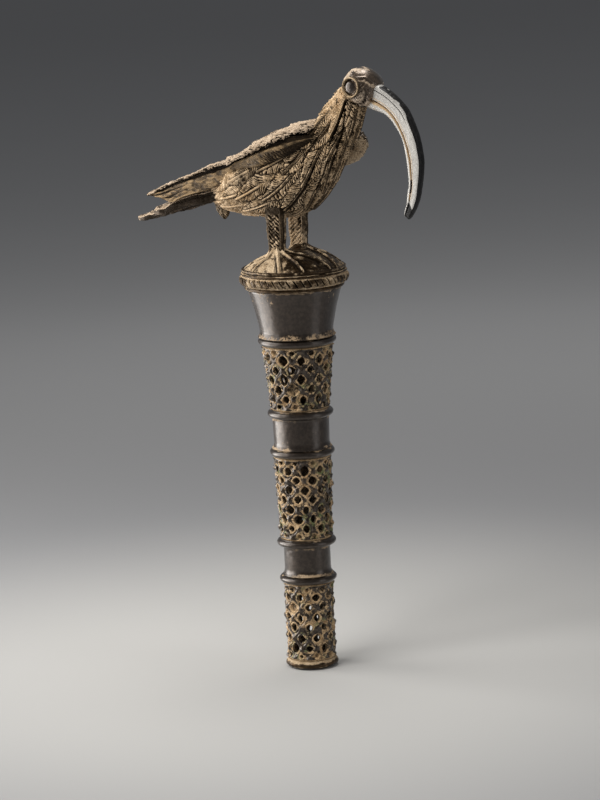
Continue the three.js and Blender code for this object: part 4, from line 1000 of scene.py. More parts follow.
def coverts(side):
    """The rough cape on the back of one wing, in ragged tiers, with a torn outer edge."""
    nu, n_top, n_edge, n_low = 420, 84, 10, 26
    x = np.linspace(31, -99.6, nu)
    xs = np.array([c[0] for c in COVERTS])
    t = np.interp(-x, -xs, np.arange(len(xs)))
    R = spline(COVERTS, t)
    ragged = noise(np.stack([x, np.full(nu, side * 3.0), np.zeros(nu)], -1), 5.0, 121 + side, 3)
    yi, zi, th = R[:, 1], R[:, 2], R[:, 5]
    fade = step(31 - x, 0, 8) * step(x + 99.6, 0, 6)
    rear = step(-x, 30, 60)
    # tier edges, front to rear, as the outer edge meets them
    ends = np.array([18.5, 0.5, -12.0, -33.0, -53.0, -72.0])

    def tier(xx, span):
        """0 just behind a tier's edge, rising to 1 where the tier ends."""
        s = xx + (1 - span) * 13.0
        out = np.zeros_like(s)
        bounds = np.concatenate([[36.0], ends, [-112.0]])
        for a, b in zip(bounds[:-1], bounds[1:]):
            k = (a - s) / (a - b)
            out = np.where((k >= 0) & (k < 1), k, out)
        return out * step(1 - out, 0.0, 0.07)

    tooth = tier(x, np.ones(nu))
    yo = R[:, 3] + (0.9 * ragged * (1 - 0.6 * rear) + 1.1 * (tooth - 0.5) * (1 - 0.6 * rear)) * fade
    zo = R[:, 4] + (0.5 * ragged - 0.5 * (tooth - 0.5)) * fade * (1 - 0.5 * rear)
    sect = []
    for q in np.linspace(0, 1, n_top):
        z = zi + (zo - zi) * q**2.0
        sect.append(np.stack([x, side * (yi + (yo - yi) * q), z + th / 2 * (1 - 0.35 * step(q, 0.9, 1.0))], -1))
    for a in np.linspace(0, 1, n_edge + 2)[1:-1]:
        ang = math.pi * (0.5 - a)
        sect.append(np.stack([x, side * (yo + 0.5 * th / 2 * math.cos(ang)), zo + 0.65 * th / 2 * math.sin(ang)], -1))
    for q in np.linspace(1, 0.0, n_low):
        z = zi + (zo - zi) * q**2.0
        sect.append(np.stack([x, side * (yi + (yo - yi) * q), z - th / 2 * (1 - 0.35 * step(q, 0.9, 1.0))], -1))
    P = np.stack(sect, 1)
    top = np.zeros(P.shape[1])
    top[: n_top + n_edge] = 1
    edge = np.zeros(P.shape[1])
    edge[n_top - 8: n_top + n_edge] = 1
    flat = P * (1, side, 1)
    span = np.clip(np.abs(P[..., 1]) / np.maximum(yo[:, None], 1), 0, 1)
    y = np.abs(P[..., 1])
    fibre = np.stack([0.22 * (flat[..., 0] - 0.5 * y), flat[..., 1], flat[..., 2]], -1)
    n1, n2, n3, n9 = (noise(q_, s_, sd + side, 2) for q_, s_, sd in ((fibre, 0.72, 131), (fibre, 1.35, 132), (flat, 3.0, 134), (flat, 9, 137)))
    tr = tier(P[..., 0] + 1.6 * n9, span)
    # short barbs that slant back from the spine, broken into crumbs
    phase = (-P[..., 0] - y * 0.9) / 1.75 + 0.55 * n3 + 0.45 * n2
    b = np.clip(lerp(0.5 + 0.5 * np.cos(2 * np.pi * phase), 0.5 + 0.75 * n1, 0.58), 0, 1)
    b = step(b, 0.12, 0.80)
    pits = step(n2 - 0.5 * n1, 0.30, 0.65)
    H = (0.62 * (b - 0.55) + 0.22 * n3 + 0.50 * n1 - 0.45 * pits + 1.15 * (tr - 0.5) * (1 - 0.5 * rear[:, None])) * top + 0.15 * n3
    H = H * fade[:, None] * (1 - 0.40 * rear[:, None])
    lump = 0.30 * noise(flat, 12, 141 + side, 1) * top * fade[:, None] * (1 - 0.6 * rear[:, None])
    V, F = closed_loft(relieved(P, H + lump))
    cav = blur(H, 3, 3, False, True) - H
    # painted shade and dark patina in the gaps and pits, painted shade in the hollows, and the whole underside painted
    # dark as the shadow under the cape
    deep = np.clip((0.9 * np.clip(1.0 - 1.6 * b, 0, 1) * (1 - 0.4 * rear[:, None]) + 0.55 * step(-n1, 0.12, 0.5) + 0.45 * pits + 0.45 * step(cav, 0.08, 0.42)) * top + 0.95 * (1 - top), 0, 1)
    dep = (0.34 + 0.42 * b + 0.16 * n9 + 0.2 * n2 + 0.22 * edge[None]) * top + 0.1
    label = "right" if side < 0 else "left"
    return piece(f"{label}_wing_coverts", V, F, M["cape"], "plumage", [f"{label}_wing_coverts"], dep=pad2(dep), deep=pad2(deep), rub=pad2(0.12 * step(H, 0.45, 0.9)))


WING_REAR = [(-25, 17.0, 320.2, 2.4, 6.8), (-47, 16.4, 312.2, 2.2, 6.3), (-66, 16.6, 306.6, 2.1, 5.2), (-80, 16.0, 302.4, 1.9, 4.9), (-90, 15.6, 299.9, 1.6, 3.5), (-98.5, 15.2, 299.4, 1.1, 1.6)]
RIGHT_WING = [(31, 13.5, 338.6, 0.5, 0.9), (24, 17.0, 337.0, 1.5, 3.2), (15, 19.8, 333.8, 2.3, 5.8), (-3, 20.8, 328.2, 2.7, 7)] + WING_REAR
LEFT_WING = [(45.0, 21.4, 332.0, 1.4, 3.2), (41.4, 22.0, 331.6, 3.4, 7.2), (35, 22.4, 329.8, 4.2, 9.8), (27, 22.6, 328.0, 4.2, 10.6), (12, 22.4, 327.6, 3.5, 9.4), (-5, 21.2, 326.2, 3.0, 8.2)] + WING_REAR


def wing(side):
    rows = RIGHT_WING if side < 0 else LEFT_WING
    nu, nv = 430, 120
    x0, x1 = rows[0][0], rows[-1][0]
    k = np.linspace(0, 1, nu)
    x = x0 + (x1 - x0) * (k**1.15 if side > 0 else k)
    t = np.interp(-x, -np.array([r[0] for r in rows], float), np.arange(len(rows)))
    R = spline(rows, t)
    ang = np.linspace(0, 2 * np.pi, nv, endpoint=False)
    c, s = np.cos(ang), np.sin(ang)
    cy = np.sign(c) * np.abs(c) ** 0.7
    half, high = np.maximum(R[:, 3], 0.4), np.maximum(R[:, 4], 0.5)
    y = R[:, 1, None] + half[:, None] * cy[None]
    z = R[:, 2, None] + high[:, None] * s[None]
    crest = (R[:, 2] + high)[:, None]
    floor_ = np.interp(x, [-60, -38, -35, -33.5, -31, -27.4, -15, -7, 8, 20, 30], [280, 300, 304, 307.7, 312.8, 317.4, 319.4, 321.3, 325.8, 331, 334])
    left_over = np.clip((crest[:, 0] - floor_) / (2 * high), 0.12, 1)
    if side > 0:
        left_over = lerp(left_over, 1.0, step(x, -4, 12))
    z = crest - (crest - z) * left_over[:, None]
    X = np.repeat(x[:, None], nv, 1)
    # stepped tips: three long quills, the upper one longest
    lane = (1 - s) / 2
    notch = np.where(lane < 0.36, 0.0, np.where(lane < 0.66, 4.5, 11.5)) + 1.0 * np.sin(lane * 14)
    X = X + step(-X, 70, 98.5) * notch[None]
    P = np.stack([X, side * y, z], -1)
    flat = P * (1, side, 1)
    n1, n3, n9 = noise(flat * (0.2, 1, 1), 0.8, 151 + side, 2), noise(flat, 4, 154 + side, 2), noise(flat, 10, 157 + side, 2)
    nb = noise(flat, 1.6, 158 + side, 2)
    across = s[None] * high[:, None]
    rear = step(-X, 22, 60)
    bend = step(X, 8, 26) * (side > 0)
    flute = np.cos(2 * np.pi * (across / 2.3 + 0.3 * n3))
    split = (bump(lane[None], 0.36, 0.03) + bump(lane[None], 0.66, 0.03)) * step(-X, 52, 84)
    face = step(np.abs(c)[None], 0.12, 0.4)
    L = np.broadcast_to(lane[None], X.shape)
    # painted shadow: the cape's shadow on the plate's upper lanes, which are also pushed in
    under = step(lerp(0.36, 0.16, step(-X, 20, 75)) - L + 0.05 * n3, 0, 0.10) * step(L, 0, 0.02) * (1 - bend)
    barb = 0.5 + 0.5 * np.cos(2 * np.pi * ((-X - across * 0.9) / 2.0 + 0.4 * n3 + 0.4 * nb))
    hatch = step(L, 0.50, 0.60) * (1 - rear) * (1 - bend)
    # the front part, with coarser hatch and more painted shade
    mat_ = step(X, -14, 4)
    H = (0.10 * flute * rear + 0.20 * n1 * lerp(0.6, 1.0, rear) + 0.20 * n3 - 0.9 * under + hatch * (0.20 + 0.40 * mat_) * (barb - 0.5)) * face - 0.5 * split * face
    brim = step(L, 0.90, 0.97) * step(-X, 54, 62) * step(90 + X, 0, 6)
    H = H + 0.55 * brim * face + 0.30 * bend * nb
    H = H + 0.45 * bump(L, 0.42, 0.08) * (1 - rear) * (1 - bend) * face + 0.30 * bend * n9 + 0.2 * bend * n3
    V, F = closed_loft(relieved(P, H))
    cav = blur(H, 4, 3, False, True) - H
    # painted shadow on the front of the near wing, under the cape; painted shade in the hatch gaps, more towards the
    # front, in the splits and in the hollows
    front_shadow = step(X, 4, 18) * (1 - bend) * (side < 0)
    deep = np.clip(0.9 * split + 0.4 * step(cav, 0.08, 0.35) * (1 - bend) + 1.0 * under + 0.42 * hatch * mat_ + (0.35 + 0.35 * mat_) * hatch * (1 - barb) + 0.5 * front_shadow + 0.30 * step(n1, 0.1, 0.6) * rear, 0, 1)
    dep = 0.30 + 0.06 * rear * step(L, 0.2, 0.4) + 0.26 * n3 + 0.30 * n1 * rear + 0.14 * hatch * barb + 0.75 * step(-X, 84, 95) + 0.16 * bump(L, 0.42, 0.1) * (1 - rear)
    dep = dep - 0.14 * (side > 0) + 0.9 * brim
    deep = deep * (1 - 0.9 * brim)
    # painted light: the far wing's bend is painted pale tan, as if lit, and darker along its top
    dep = lerp(dep, 0.62 + 0.35 * n9 + 0.40 * n3 + 0.40 * nb - 0.8 * step(s[None] * np.ones_like(X), 0.55, 0.85), bend)
    label = "right" if side < 0 else "left"
    return piece(f"{label}_wing", V, F, M["bend" if side > 0 else "wing"], "wing", [f"{label}_wing"], dep=pad2(dep), deep=pad2(deep), rub=pad2(0 * H))


# tail feathers: x, y, top z, half-width, droop, thickness
TAIL_MIDDLE = [(-40, 0, 311.0, 9.0, 3.0, 4.0), (-62, 0, 304.2, 8.6, 3.4, 3.6), (-80, 0, 298.4, 8.0, 3.4, 3.2), (-97, 0, 291.8, 7.2, 2.8, 3.0), (-107, 0, 288.2, 6.2, 2.0, 3.0), (-113.5, 0, 285.8, 4.6, 1.1, 2.8), (-118.4, 0, 284.2, 2.4, 0.5, 2.0)]
TAIL_SIDE = [(-40, 8.4, 310.6, 4.3, 3.6, 6.6), (-55, 8.9, 306.2, 4.5, 3.6, 6.4), (-64, 9.3, 303.9, 4.6, 3.4, 6.0), (-72, 9.6, 301.2, 4.6, 3.2, 5.6), (-80, 9.8, 298.2, 4.5, 3.0, 5.2), (-87, 9.9, 295.0, 4.2, 2.6, 4.7), (-92, 10, 293.2, 3.7, 2.0, 4.0), (-95.6, 10, 291.6, 2.8, 1.4, 3.2), (-98, 10, 290.6, 1.5, 0.8, 2.2)]


def tail(name, rows, side, seed):
    nu, n_top, n_edge, n_low = 300, 56, 22, 36
    x = np.linspace(rows[0][0], rows[-1][0], nu)
    t = np.interp(-x, -np.array([r[0] for r in rows], float), np.arange(len(rows)))
    R = spline(rows, t)
    rag = noise(np.stack([x, np.full(nu, seed * 5.0), np.zeros(nu)], -1), 8, seed, 3)
    w = R[:, 3] * (1 + 0.10 * rag)
    y0, z0, droop, th = side * R[:, 1], R[:, 2] + 0.55 * rag, R[:, 4], R[:, 5]
    sect = []
    for q in np.linspace(-1, 1, n_top):
        sect.append(np.stack([x, y0 + side * w * q, z0 - droop * q * q], -1))
    for sgn in (1, -1):
        for a in np.linspace(0, 1, n_edge + 2)[1:-1]:
            v = math.cos(math.pi * a)
            v = math.copysign(abs(v) ** 0.8, v) * sgn
            out = 0.9 * (1 - abs(v) ** 3) ** 0.5
            sect.append(np.stack([x, y0 + sgn * side * (w + out), z0 - droop - th / 2 + th / 2 * v], -1))
        if sgn == 1:
            for q in np.linspace(1, -1, n_low):
                sect.append(np.stack([x, y0 + side * w * q, z0 - droop * q * q - th], -1))
    P = np.stack(sect, 1)
    nv = P.shape[1]
    top, wall, q, down = np.zeros(nv), np.zeros(nv), np.zeros(nv), np.zeros(nv)
    top[:n_top] = 1
    q[:n_top] = np.linspace(-1, 1, n_top)
    e1 = slice(n_top, n_top + n_edge)
    e2 = slice(n_top + n_edge + n_low, nv)
    wall[e1] = wall[e2] = 1
    down[e1] = np.linspace(0, 1, n_edge)
    down[e2] = np.linspace(1, 0, n_edge)
    q[e1], q[e2] = 1, -1
    q[n_top + n_edge:n_top + n_edge + n_low] = np.linspace(1, -1, n_low)
    d = np.abs(q)[None] * w[:, None]
    along_ = lerp(1.0, 0.22, np.clip(wall, 0, 1))[None, :, None]
    Q = P * np.concatenate([np.broadcast_to(along_, (1, nv, 1)), np.ones((1, nv, 2))], -1)
    n1, n2, n3 = noise(Q, 0.9, seed + 1, 2), noise(Q, 1.8, seed + 4, 2), noise(Q, 3.4, seed + 2, 2)
    phase = (-P[..., 0] - d * 1.6) / 1.9 + 0.4 * n3 + 0.3 * n2
    b = np.clip(lerp(0.5 + 0.5 * np.cos(2 * np.pi * phase), 0.5 + 0.6 * n2, 0.35), 0, 1)
    ridge = bump(d, 0, 0.6)
    rim = step(np.abs(q)[None], 0.80, 0.97)
    H = (0.42 * (b - 0.5) * (1 - rim) + 0.20 * n1 + 0.55 * ridge + 0.35 * rim - 0.3 * bump(d, 1.3, 0.4)) * top + 0.24 * n3 + 0.14 * n2 + 0.10 * n1
    # painted shade in a groove along the side wall
    line = bump(down, 0.36, 0.05)[None] * wall * step(84 + P[..., 0], 0, 8) * (th[:, None] > 5)
    H = H - 0.8 * line
    V, F = closed_loft(relieved(P, H))
    cav = blur(H, 3, 3, False, True) - H
    # painted shade on the side walls and the underside, less at the tips; painted shade and dark patina in the barb
    # gaps and hollows
    side_shade = wall * step(down, 0.04, 0.16)
    low = np.zeros(nv)
    low[n_top + n_edge:n_top + n_edge + n_low] = 1
    end = step(-P[..., 0], -rows[-1][0] - 9, -rows[-1][0] - 2)
    deep = np.clip(0.7 * np.clip(0.9 - 1.6 * b, 0, 1) * (1 - rim) * top + 0.5 * step(cav, 0.10, 0.4) + 1.0 * line + 0.35 * low[None] + 1.0 * side_shade[None] * (1 - end) * (0.85 + 0.35 * n2), 0, 1)
    # pale top edges and upper walls, partly deposit and partly a painted highlight as if lit from above; less deposit
    # where the painted shade lies
    dep = 0.52 + 0.16 * n3 + 0.36 * rim * top + 0.3 * wall * (1 - step(down, 0.04, 0.16)) - 0.50 * (side_shade + low)[None] * (1 - 0.9 * end) + 0.12 * bump(down, 0.2, 0.1)[None] * wall
    return piece(name, V, F, M["cape"], "wing", [name], dep=pad2(dep), deep=pad2(deep), rub=pad2(0.2 * ridge * top))


def leaf():
    nu, nv = 60, 72
    k = np.linspace(0, 1, nu)
    z = 296 - 11.6 * k
    wide = 5.6 * np.sin(np.pi * np.clip(0.30 + 0.70 * k, 0, 1)) ** 0.55
    thick = lerp(2.6, 1.1, k)
    ang = np.linspace(0, 2 * np.pi, nv, endpoint=False)
    P = np.stack([np.repeat((-53.6 + 1.4 * k)[:, None], nv, 1) + wide[:, None] * np.cos(ang), 1.2 + thick[:, None] * np.sin(ang), np.repeat(z[:, None], nv, 1)], -1)
    n1, n3 = noise(P, 0.9, 161, 2), noise(P, 3, 162, 2)
    d = np.abs(P[..., 0] - P[..., 0].mean(1, keepdims=True))
    phase = (-P[..., 2] - d) / 1.7 + 0.3 * n3
    b = 0.5 + 0.5 * np.cos(2 * np.pi * phase)
    H = 0.3 * (b - 0.5) + 0.2 * n1 + 0.45 * bump(d, 0, 0.5)
    V, F = closed_loft(relieved(P, H))
    # painted shade in the gaps between the barbs
    return piece("undertail_covert", V, F, M["plumage"], "wing", ["undertail_covert"], dep=pad2(0.15 + 0.2 * b), deep=pad2(0.6 * (1 - b) ** 2), rub=pad2(0.2 * bump(d, 0, 0.5)))


# ------------------------------------------------------------------ legs and feet
LEG_X, LEG_Y = -3.2, 12.0


def leg(side):
    nu, nv = 150, 168
    z = np.linspace(263.0, 295.0, nu)
    ang = np.linspace(0, 2 * np.pi, nv, endpoint=False)
    c, s = np.cos(ang), np.sin(ang)
    cx, sy = np.sign(c) * np.abs(c) ** 0.45, np.sign(s) * np.abs(s) ** 0.45
    narrow = 1 - 0.13 * bump(z, 270.5, 4.0) + 0.10 * step(z, 284, 292) + 0.32 * step(268.0 - z, 0, 5)
    P = np.stack([LEG_X + 6.1 * narrow[:, None] * cx[None], side * LEG_Y + 3.3 * narrow[:, None] * sy[None], np.repeat(z[:, None], nv, 1)], -1)
    flat = P * (1, side, 1)
    n1, n2, n3 = noise(flat, 0.9, 171 + side, 2), noise(flat, 1.8, 172 + side, 2), noise(flat, 4, 174 + side, 2)
    lx = (P[..., 0] - LEG_X) / (6.1 * narrow[:, None])
    ly = (P[..., 1] - side * LEG_Y) / (3.3 * narrow[:, None])
    panel = step(np.abs(ly), 0.80, 0.97) * step(0.70 - np.abs(lx - 0.04), 0, 0.14)
    front = step(np.abs(lx), 0.86, 0.98) * step(0.70 - np.abs(ly), 0, 0.2)
    outer = np.where(P[..., 1] * side > LEG_Y, 1.0, 0.0)
    slant = np.where(outer > 0, 1.0, -1.0)
    # strokes slant down towards the front on the outer face
    phase = (P[..., 2] + 0.95 * slant * (P[..., 0] - LEG_X)) / 2.75 + 0.2 * n3 + 0.12 * n2
    wave = np.abs((phase % 1) - 0.5) * 2
    stroke = step(wave + 0.25 * n2, 0.36, 0.75)
    upright = np.cos(2 * np.pi * (P[..., 1] - side * LEG_Y) / 2.3 + 0.7 * n3)
    span = step(z, 268.5, 270.5)[:, None] * step(291 - z, 0, 1.5)[:, None]
    frame_ = bump(np.abs(lx), 0.86, 0.09) * step(np.abs(ly), 0.7, 0.95)
    H = panel * span * (-0.65 + 0.75 * stroke) + 0.40 * frame_
    H = H + front * span * 0.32 * upright + 0.20 * n3 + 0.20 * n2 + 0.10 * n1
    V, F = closed_loft(relieved(P, H))
    inner = 1 - outer
    # painted shade in the gaps between strokes and in the grooves; painted shadow at the top of the leg, under the body
    deep = np.clip(panel * span * (1 - stroke) ** 1.1 + front * span * step(-upright, 0.1, 0.9) * 0.8 + 0.7 * bump(np.abs(lx - 0.04), 0.70, 0.05) * step(np.abs(ly), 0.8, 0.97), 0, 1)
    deep = np.maximum(deep * lerp(1.0, 0.55, inner), 0.75 * step(P[..., 2], 288.5, 291.5))
    dep = 0.02 + 0.22 * n3 + 0.22 * panel * stroke + 0.50 * frame_ * step(-lx, 0.2, 0.6) + 0.36 * inner + 0.3 * step(269 - P[..., 2], 0, 3)
    label = "right" if side < 0 else "left"
    return piece(f"{label}_leg", V, F, M["plumage"], "cast_surface", [f"{label}_leg"], dep=pad2(dep), deep=pad2(deep), rub=pad2(0.1 * frame_))


TOES = (-54, -20, 14)


def foot(side):
    """Ankle, three ridged front toes with webs between, and a hind toe, as a relief laid over the mound."""
    nd, na = 96, 260
    x0, y0 = LEG_X, LEG_Y
    ang = np.linspace(0, 2 * np.pi, na, endpoint=False)
    dx, dy = np.cos(ang), np.sin(ang)
    b = x0 * dx + y0 * dy
    far = -b + np.sqrt(b * b - (x0 * x0 + y0 * y0 - 31.4**2))
    # stops short of the other foot
    mid = np.where(dy < -1e-3, (y0 - 0.35) / np.maximum(-dy, 1e-3), 1e9)
    far = np.minimum(far, mid)
    k = np.linspace(0.0, 1, nd) ** 0.85
    D = far[None] * k[:, None]
    X, Y = x0 + D * dx[None], y0 + D * dy[None]
    r = np.hypot(X, Y)
    rel = lambda deg: np.angle(np.exp(1j * (np.broadcast_to(ang, X.shape) - math.radians(deg))))
    h = np.full_like(X, -0.5)
    web = np.zeros_like(X)
    toes = [-d for d in TOES]  # mirrored: this is the left foot
    hind = (164, 1.15)
    outer = (118, 1.5)
    lo, hi = min(toes), max(toes)
    a = np.degrees(np.angle(np.exp(1j * np.broadcast_to(ang, X.shape))))
    between = step(a, lo - 8, lo + 2) * step(hi + 70 - a, 0, 8)
    web = between * (0.55 + 0.6 * np.exp(-D / 9))
    h = np.maximum(h, web - 0.15)
    ridges, beside = np.zeros_like(X), np.zeros_like(X)
    for deg, size in [(toes[0], 1.7), (toes[1], 1.9), (toes[2], 1.7), hind, outer]:
        ra = rel(deg)
        perp = np.abs(D * np.sin(ra))
        ahead = np.cos(ra) > 0
        length = np.interp(math.radians(deg) % (2 * np.pi), ang, far)
        wide = 0.78 + 0.55 * np.exp(-D / 6)
        ridge = size * np.exp(-((perp / wide) ** 2)) * np.where(ahead, 1, np.exp(-((D / 2.5) ** 2))) * lerp(1.0, 0.62, np.clip(D / length, 0, 1))
        ridges = np.maximum(ridges, ridge)
        beside = np.maximum(beside, bump(perp, wide + 0.95, 0.8) * ahead * step(D, 3.5, 7))
    h = np.maximum(h, 0) + ridges + np.minimum(h, 0) * (ridges < 0.1)
    ankle = 4.6 * np.exp(-((np.hypot((X - x0) / 1.25, (Y - y0)) / 4.8) ** 2))
    h = h + ankle
    edge = step(1 - k, 0.0, 0.05)[:, None]
    h = lerp(-0.7, h, edge)
    rm = np.minimum(r, 31)
    base = mound_z(rm)
    Z = base + h
    P = np.stack([X, side * Y, Z], -1)
    flat = np.stack([X, Y, Z], -1)
    n1, n3 = noise(flat, 0.9, 181 + side, 2), noise(flat, 4, 184 + side, 2)
    # fine lines along the toes
    lines = np.cos(2 * np.pi * a / 5.0 + 0.6 * n3)
    Z = Z + (0.18 * n3 + 0.12 * n1 + 0.10 * lines * step(D, 6, 12)) * edge
    P[..., 2] = Z
    V = P.reshape(-1, 3)
    V[: na] = [x0, side * y0, Z[0].mean()]
    floor_z = mound_z(np.minimum(r[-1], 31)) - 1.2
    low = np.stack([X[-1], side * Y[-1], floor_z], -1)
    V = np.concatenate([V, low, [[x0, side * y0, 262.0]]])
    i0, c = nd * na, nd * na + na
    ring = np.arange(na) + (nd - 1) * na
    lowr = np.arange(na) + i0
    F4 = [grid_quads(nd, na, False, True)[na:], np.stack([ring, lowr, np.roll(lowr, -1), np.roll(ring, -1)], -1)]
    first = np.arange(na) + na
    F3 = [np.stack([np.zeros(na, int), first, np.roll(first, -1)], -1), np.stack([np.full(na, c), np.roll(lowr, -1), lowr], -1)]
    across = (0.82 * P[..., 0] + 0.57 * P[..., 1]) / 33
    # painted shade: less deposit on the side away from the key light, to the camera's right
    dep = 0.58 - 0.36 * step(across, -0.30, 0.05) + 0.25 * n3 + 0.35 * step(ridges, 0.5, 1.1) * step(1.7 - ridges, 0, 0.4)
    cav = blur(Z - base, 2, 2, False, True) - (Z - base)
    # painted shade in the creases, between the fine lines, beside the toes and on the hidden skirt
    deep = np.clip(step(cav, 0.06, 0.35) * 0.9 + 0.5 * step(-lines, 0.5, 1) * step(D, 8, 14) + 0.75 * beside * (1 - step(ridges, 0.4, 0.9)), 0, 1)
    pad = lambda q, v: np.concatenate([np.asarray(q).reshape(-1), np.full(na + 1, v)])
    label = "right" if side < 0 else "left"
    return piece(f"{label}_foot", V, [np.concatenate(F4), np.concatenate(F3)], M["cast"], "cast_surface", [f"{label}_foot"],
                 dep=pad(dep, 0.5), deep=pad(deep, 1.0), rub=pad(0.35 * step(ridges, 1.0, 1.7), 0))


# ------------------------------------------------------------------ head, eyes, beak
HEAD = (58.0, 368.0)
PROFILE = [(0, 11.6), (13, 12.2), (33, 12.2), (56, 12.0), (80, 12.3), (100, 12.7), (120, 12.9), (140, 12.9), (158, 13.0), (174, 13.0), (195, 11.8), (212, 10.2),
           (232, 9.8), (250, 10.2), (270, 10.9), (285, 11.6), (301, 11.8), (322, 11.6), (345, 11.5), (360, 11.6)]


def head():
    nu, nv = 240, 300
    lat = np.linspace(-np.pi / 2, np.pi / 2, nu)
    lon = np.linspace(0, 2 * np.pi, nv, endpoint=False)
    prof = np.interp(np.degrees(lon), [p[0] for p in PROFILE], [p[1] for p in PROFILE])
    for _ in range(10):
        prof = (np.roll(prof, 1) + 2 * prof + np.roll(prof, -1)) / 4
    LA, LO = np.meshgrid(lat, lon, indexing="ij")
    r = prof[None] * np.cos(LA) ** 0.88
    P = np.stack([HEAD[0] + r * np.cos(LO), 11.7 * np.sin(LA), HEAD[1] + r * np.sin(LO)], -1)
    y = np.abs(P[..., 1])
    N = grid_normals(P, False, True)
    if np.mean(np.einsum("ijk,ijk->ij", N, P - np.array([58, 0, 368]))) < 0:
        N = -N
    flat = P
    n1, n2, n3, n6 = noise(flat, 0.8, 191, 2), noise(flat, 1.5, 194, 2), noise(flat, 2.6, 192, 2), noise(flat, 7, 193, 2)
    x, z = P[..., 0] - HEAD[0], P[..., 2] - HEAD[1]
    # smooth casque over crown and forehead; its rim runs level above the eye and down in front to the beak's root
    rim_line = z - (6.4 - 0.9 * step(x, 6, 13) * 5.0)
    back_line = x + 4.5 + 1.5 * n3
    casque = step(rim_line, -0.5, 0.9) * step(back_line, 0, 3.5)
    rim = bump(rim_line, 0.2, 0.8) * step(x + 4, 0, 5)
    brow = bump(rim_line, -1.4, 0.9) * step(x, 0, 6)
    # crescent of the cheek, under the eye
    arc = np.hypot(x + 0.2, z + 1.0)
    cheek = bump(arc, 9.6, 0.9) * step(-z, 1.0, 4.5) * step(12 - np.abs(x + 1), 0, 3) * step(y, 1.5, 5)
    lore = bump(x, 5.2, 5.6) * bump(z, 0.6, 6.6) * step(y, 2, 6)
    crease = bump(arc, 8.0, 0.7) * step(-z, 0.0, 4.0) * step(y, 3, 6)
    hatch = np.cos(2 * np.pi * (x * 0.8 + z * 0.6) / 2.0 + 0.8 * n3)
    cheek_zone = bump(x, 3.0, 6.0) * bump(z, -7.6, 3.0)
    nape = step(-x, 1.5, 6.0) * (1 - casque)
    b = np.clip(0.5 + 0.35 * n2 + 0.35 * n1, 0, 1)
    H = 0.40 * casque + 0.45 * rim + 0.95 * cheek - 0.22 * lore * (1 - casque) + 0.22 * hatch * cheek_zone * (1 - casque) + 0.35 * brow - 0.3 * crease
    H = H + (1 - casque) * (0.24 * n3 + 0.18 * n2 + 0.10 * n1) + casque * 0.05 * n6 + nape * 0.35 * (b - 0.5)
    V = P + N * H[..., None]
    idx = np.arange(nu * nv).reshape(nu, nv)
    V[0] = V[0].mean(0)
    V[-1] = V[-1].mean(0)
    F4 = grid_quads(nu, nv, False, True)[nv:-nv]
    F3 = np.concatenate([np.stack([np.full(nv, idx[0, 0]), idx[1], np.roll(idx[1], -1)], -1), np.stack([np.full(nv, idx[-1, 0]), np.roll(idx[-2], -1), idx[-2]], -1)])
    cav = blur(H, 3, 3, False, True) - H
    back_of_casque = casque * step(3.2 - x + 1.2 * n3 + 0.8 * n2, 0, 7.5)
    # the pale patch on the casque's crown: partly wear and partly a painted highlight
    worn_patch_and_highlight = casque * bump(x, 3.0, 4.4) * step(z, 8.2, 9.9)
    tawny = casque * np.clip(step(n3 + 0.5 * n6, 0.0, 0.7) * step(x, 4, 8) + 1.6 * bump(x, 12.0, 2.6) * bump(z, 4.6, 2.8) * step(y, 0.4, 2.0), 0, 1.5)
    dep = 0.24 + 0.25 * n3 + 0.75 * worn_patch_and_highlight + 0.36 * tawny + 0.45 * n2 * bump(x, 6.8, 5.0) * (1 - casque) + 0.45 * nape + 0.26 * cheek_zone * (1 - casque) * np.clip(0.8 + 1.2 * n2 + 0.8 * n3, 0, 1.6) + 0.50 * brow + 0.85 * cheek * step(8.5 - x, 0, 2) - 0.34 * casque + 0.60 * back_of_casque - 0.1 * lore + 0.3 * bump(arc, 7.2, 0.8) * step(-z, 0, 3)
    # darker in the lore hollow; painted shade in the crease round the cheek, in the hollows of the relief and between
    # the nape's grains; painted shade under the head
    deep = np.clip(0.66 * lore * (1 - casque) * np.clip(0.85 + 0.9 * n2 + 0.5 * n3, 0, 1) + 0.5 * cheek_zone * (1 - casque) * step(-n2 - 0.6 * n3, 0.1, 0.6) + 0.55 * step(cav, 0.10, 0.4) * (1 - casque) + 0.45 * crease + 0.5 * nape * np.clip(0.8 - 1.6 * b, 0, 1)
                   + 0.9 * step(-z, 9.2, 10.4) * step(x, -2, 2), 0, 1)
    return piece("head", V.reshape(-1, 3), [F4, F3], M["head"], "head", ["head"], dep=dep.reshape(-1), deep=deep.reshape(-1), rub=(0.25 * casque * (1 - back_of_casque)).reshape(-1))


def turned(name, profile, centre, side, mat, nodes, **marks):
    """A closed profile of (r, out) turned about Y at the eye."""
    pts = []
    prof = np.array(profile + [profile[0]], float)
    for a, b in zip(prof[:-1], prof[1:]):
        n = max(1, int(np.linalg.norm(b - a) / 0.16))
        pts += [lerp(a, b, m / n) for m in range(n)]
    ring = np.array(pts)
    keep = ring[:, 0] > 1e-6
    for _ in range(2):
        avg = (np.roll(ring, 1, 0) + 2 * ring + np.roll(ring, -1, 0)) / 4
        ring[keep] = avg[keep]
    nth = 120
    th = np.linspace(0, 2 * np.pi, nth, endpoint=False)
    T, S = np.meshgrid(th, np.arange(len(ring)), indexing="ij")
    r, out = np.maximum(ring[S, 0], 0.0), ring[S, 1]
    P = np.stack([centre[0] + 0.96 * r * np.cos(T), side * (centre[1] + out), centre[2] + 1.03 * r * np.sin(T)], -1)
    P = P + 0.07 * noise(P, 2.0, 203, 2)[..., None] * (r > 0.5)[..., None]
    return P, S, ring, grid_quads(nth, len(ring), True, True)


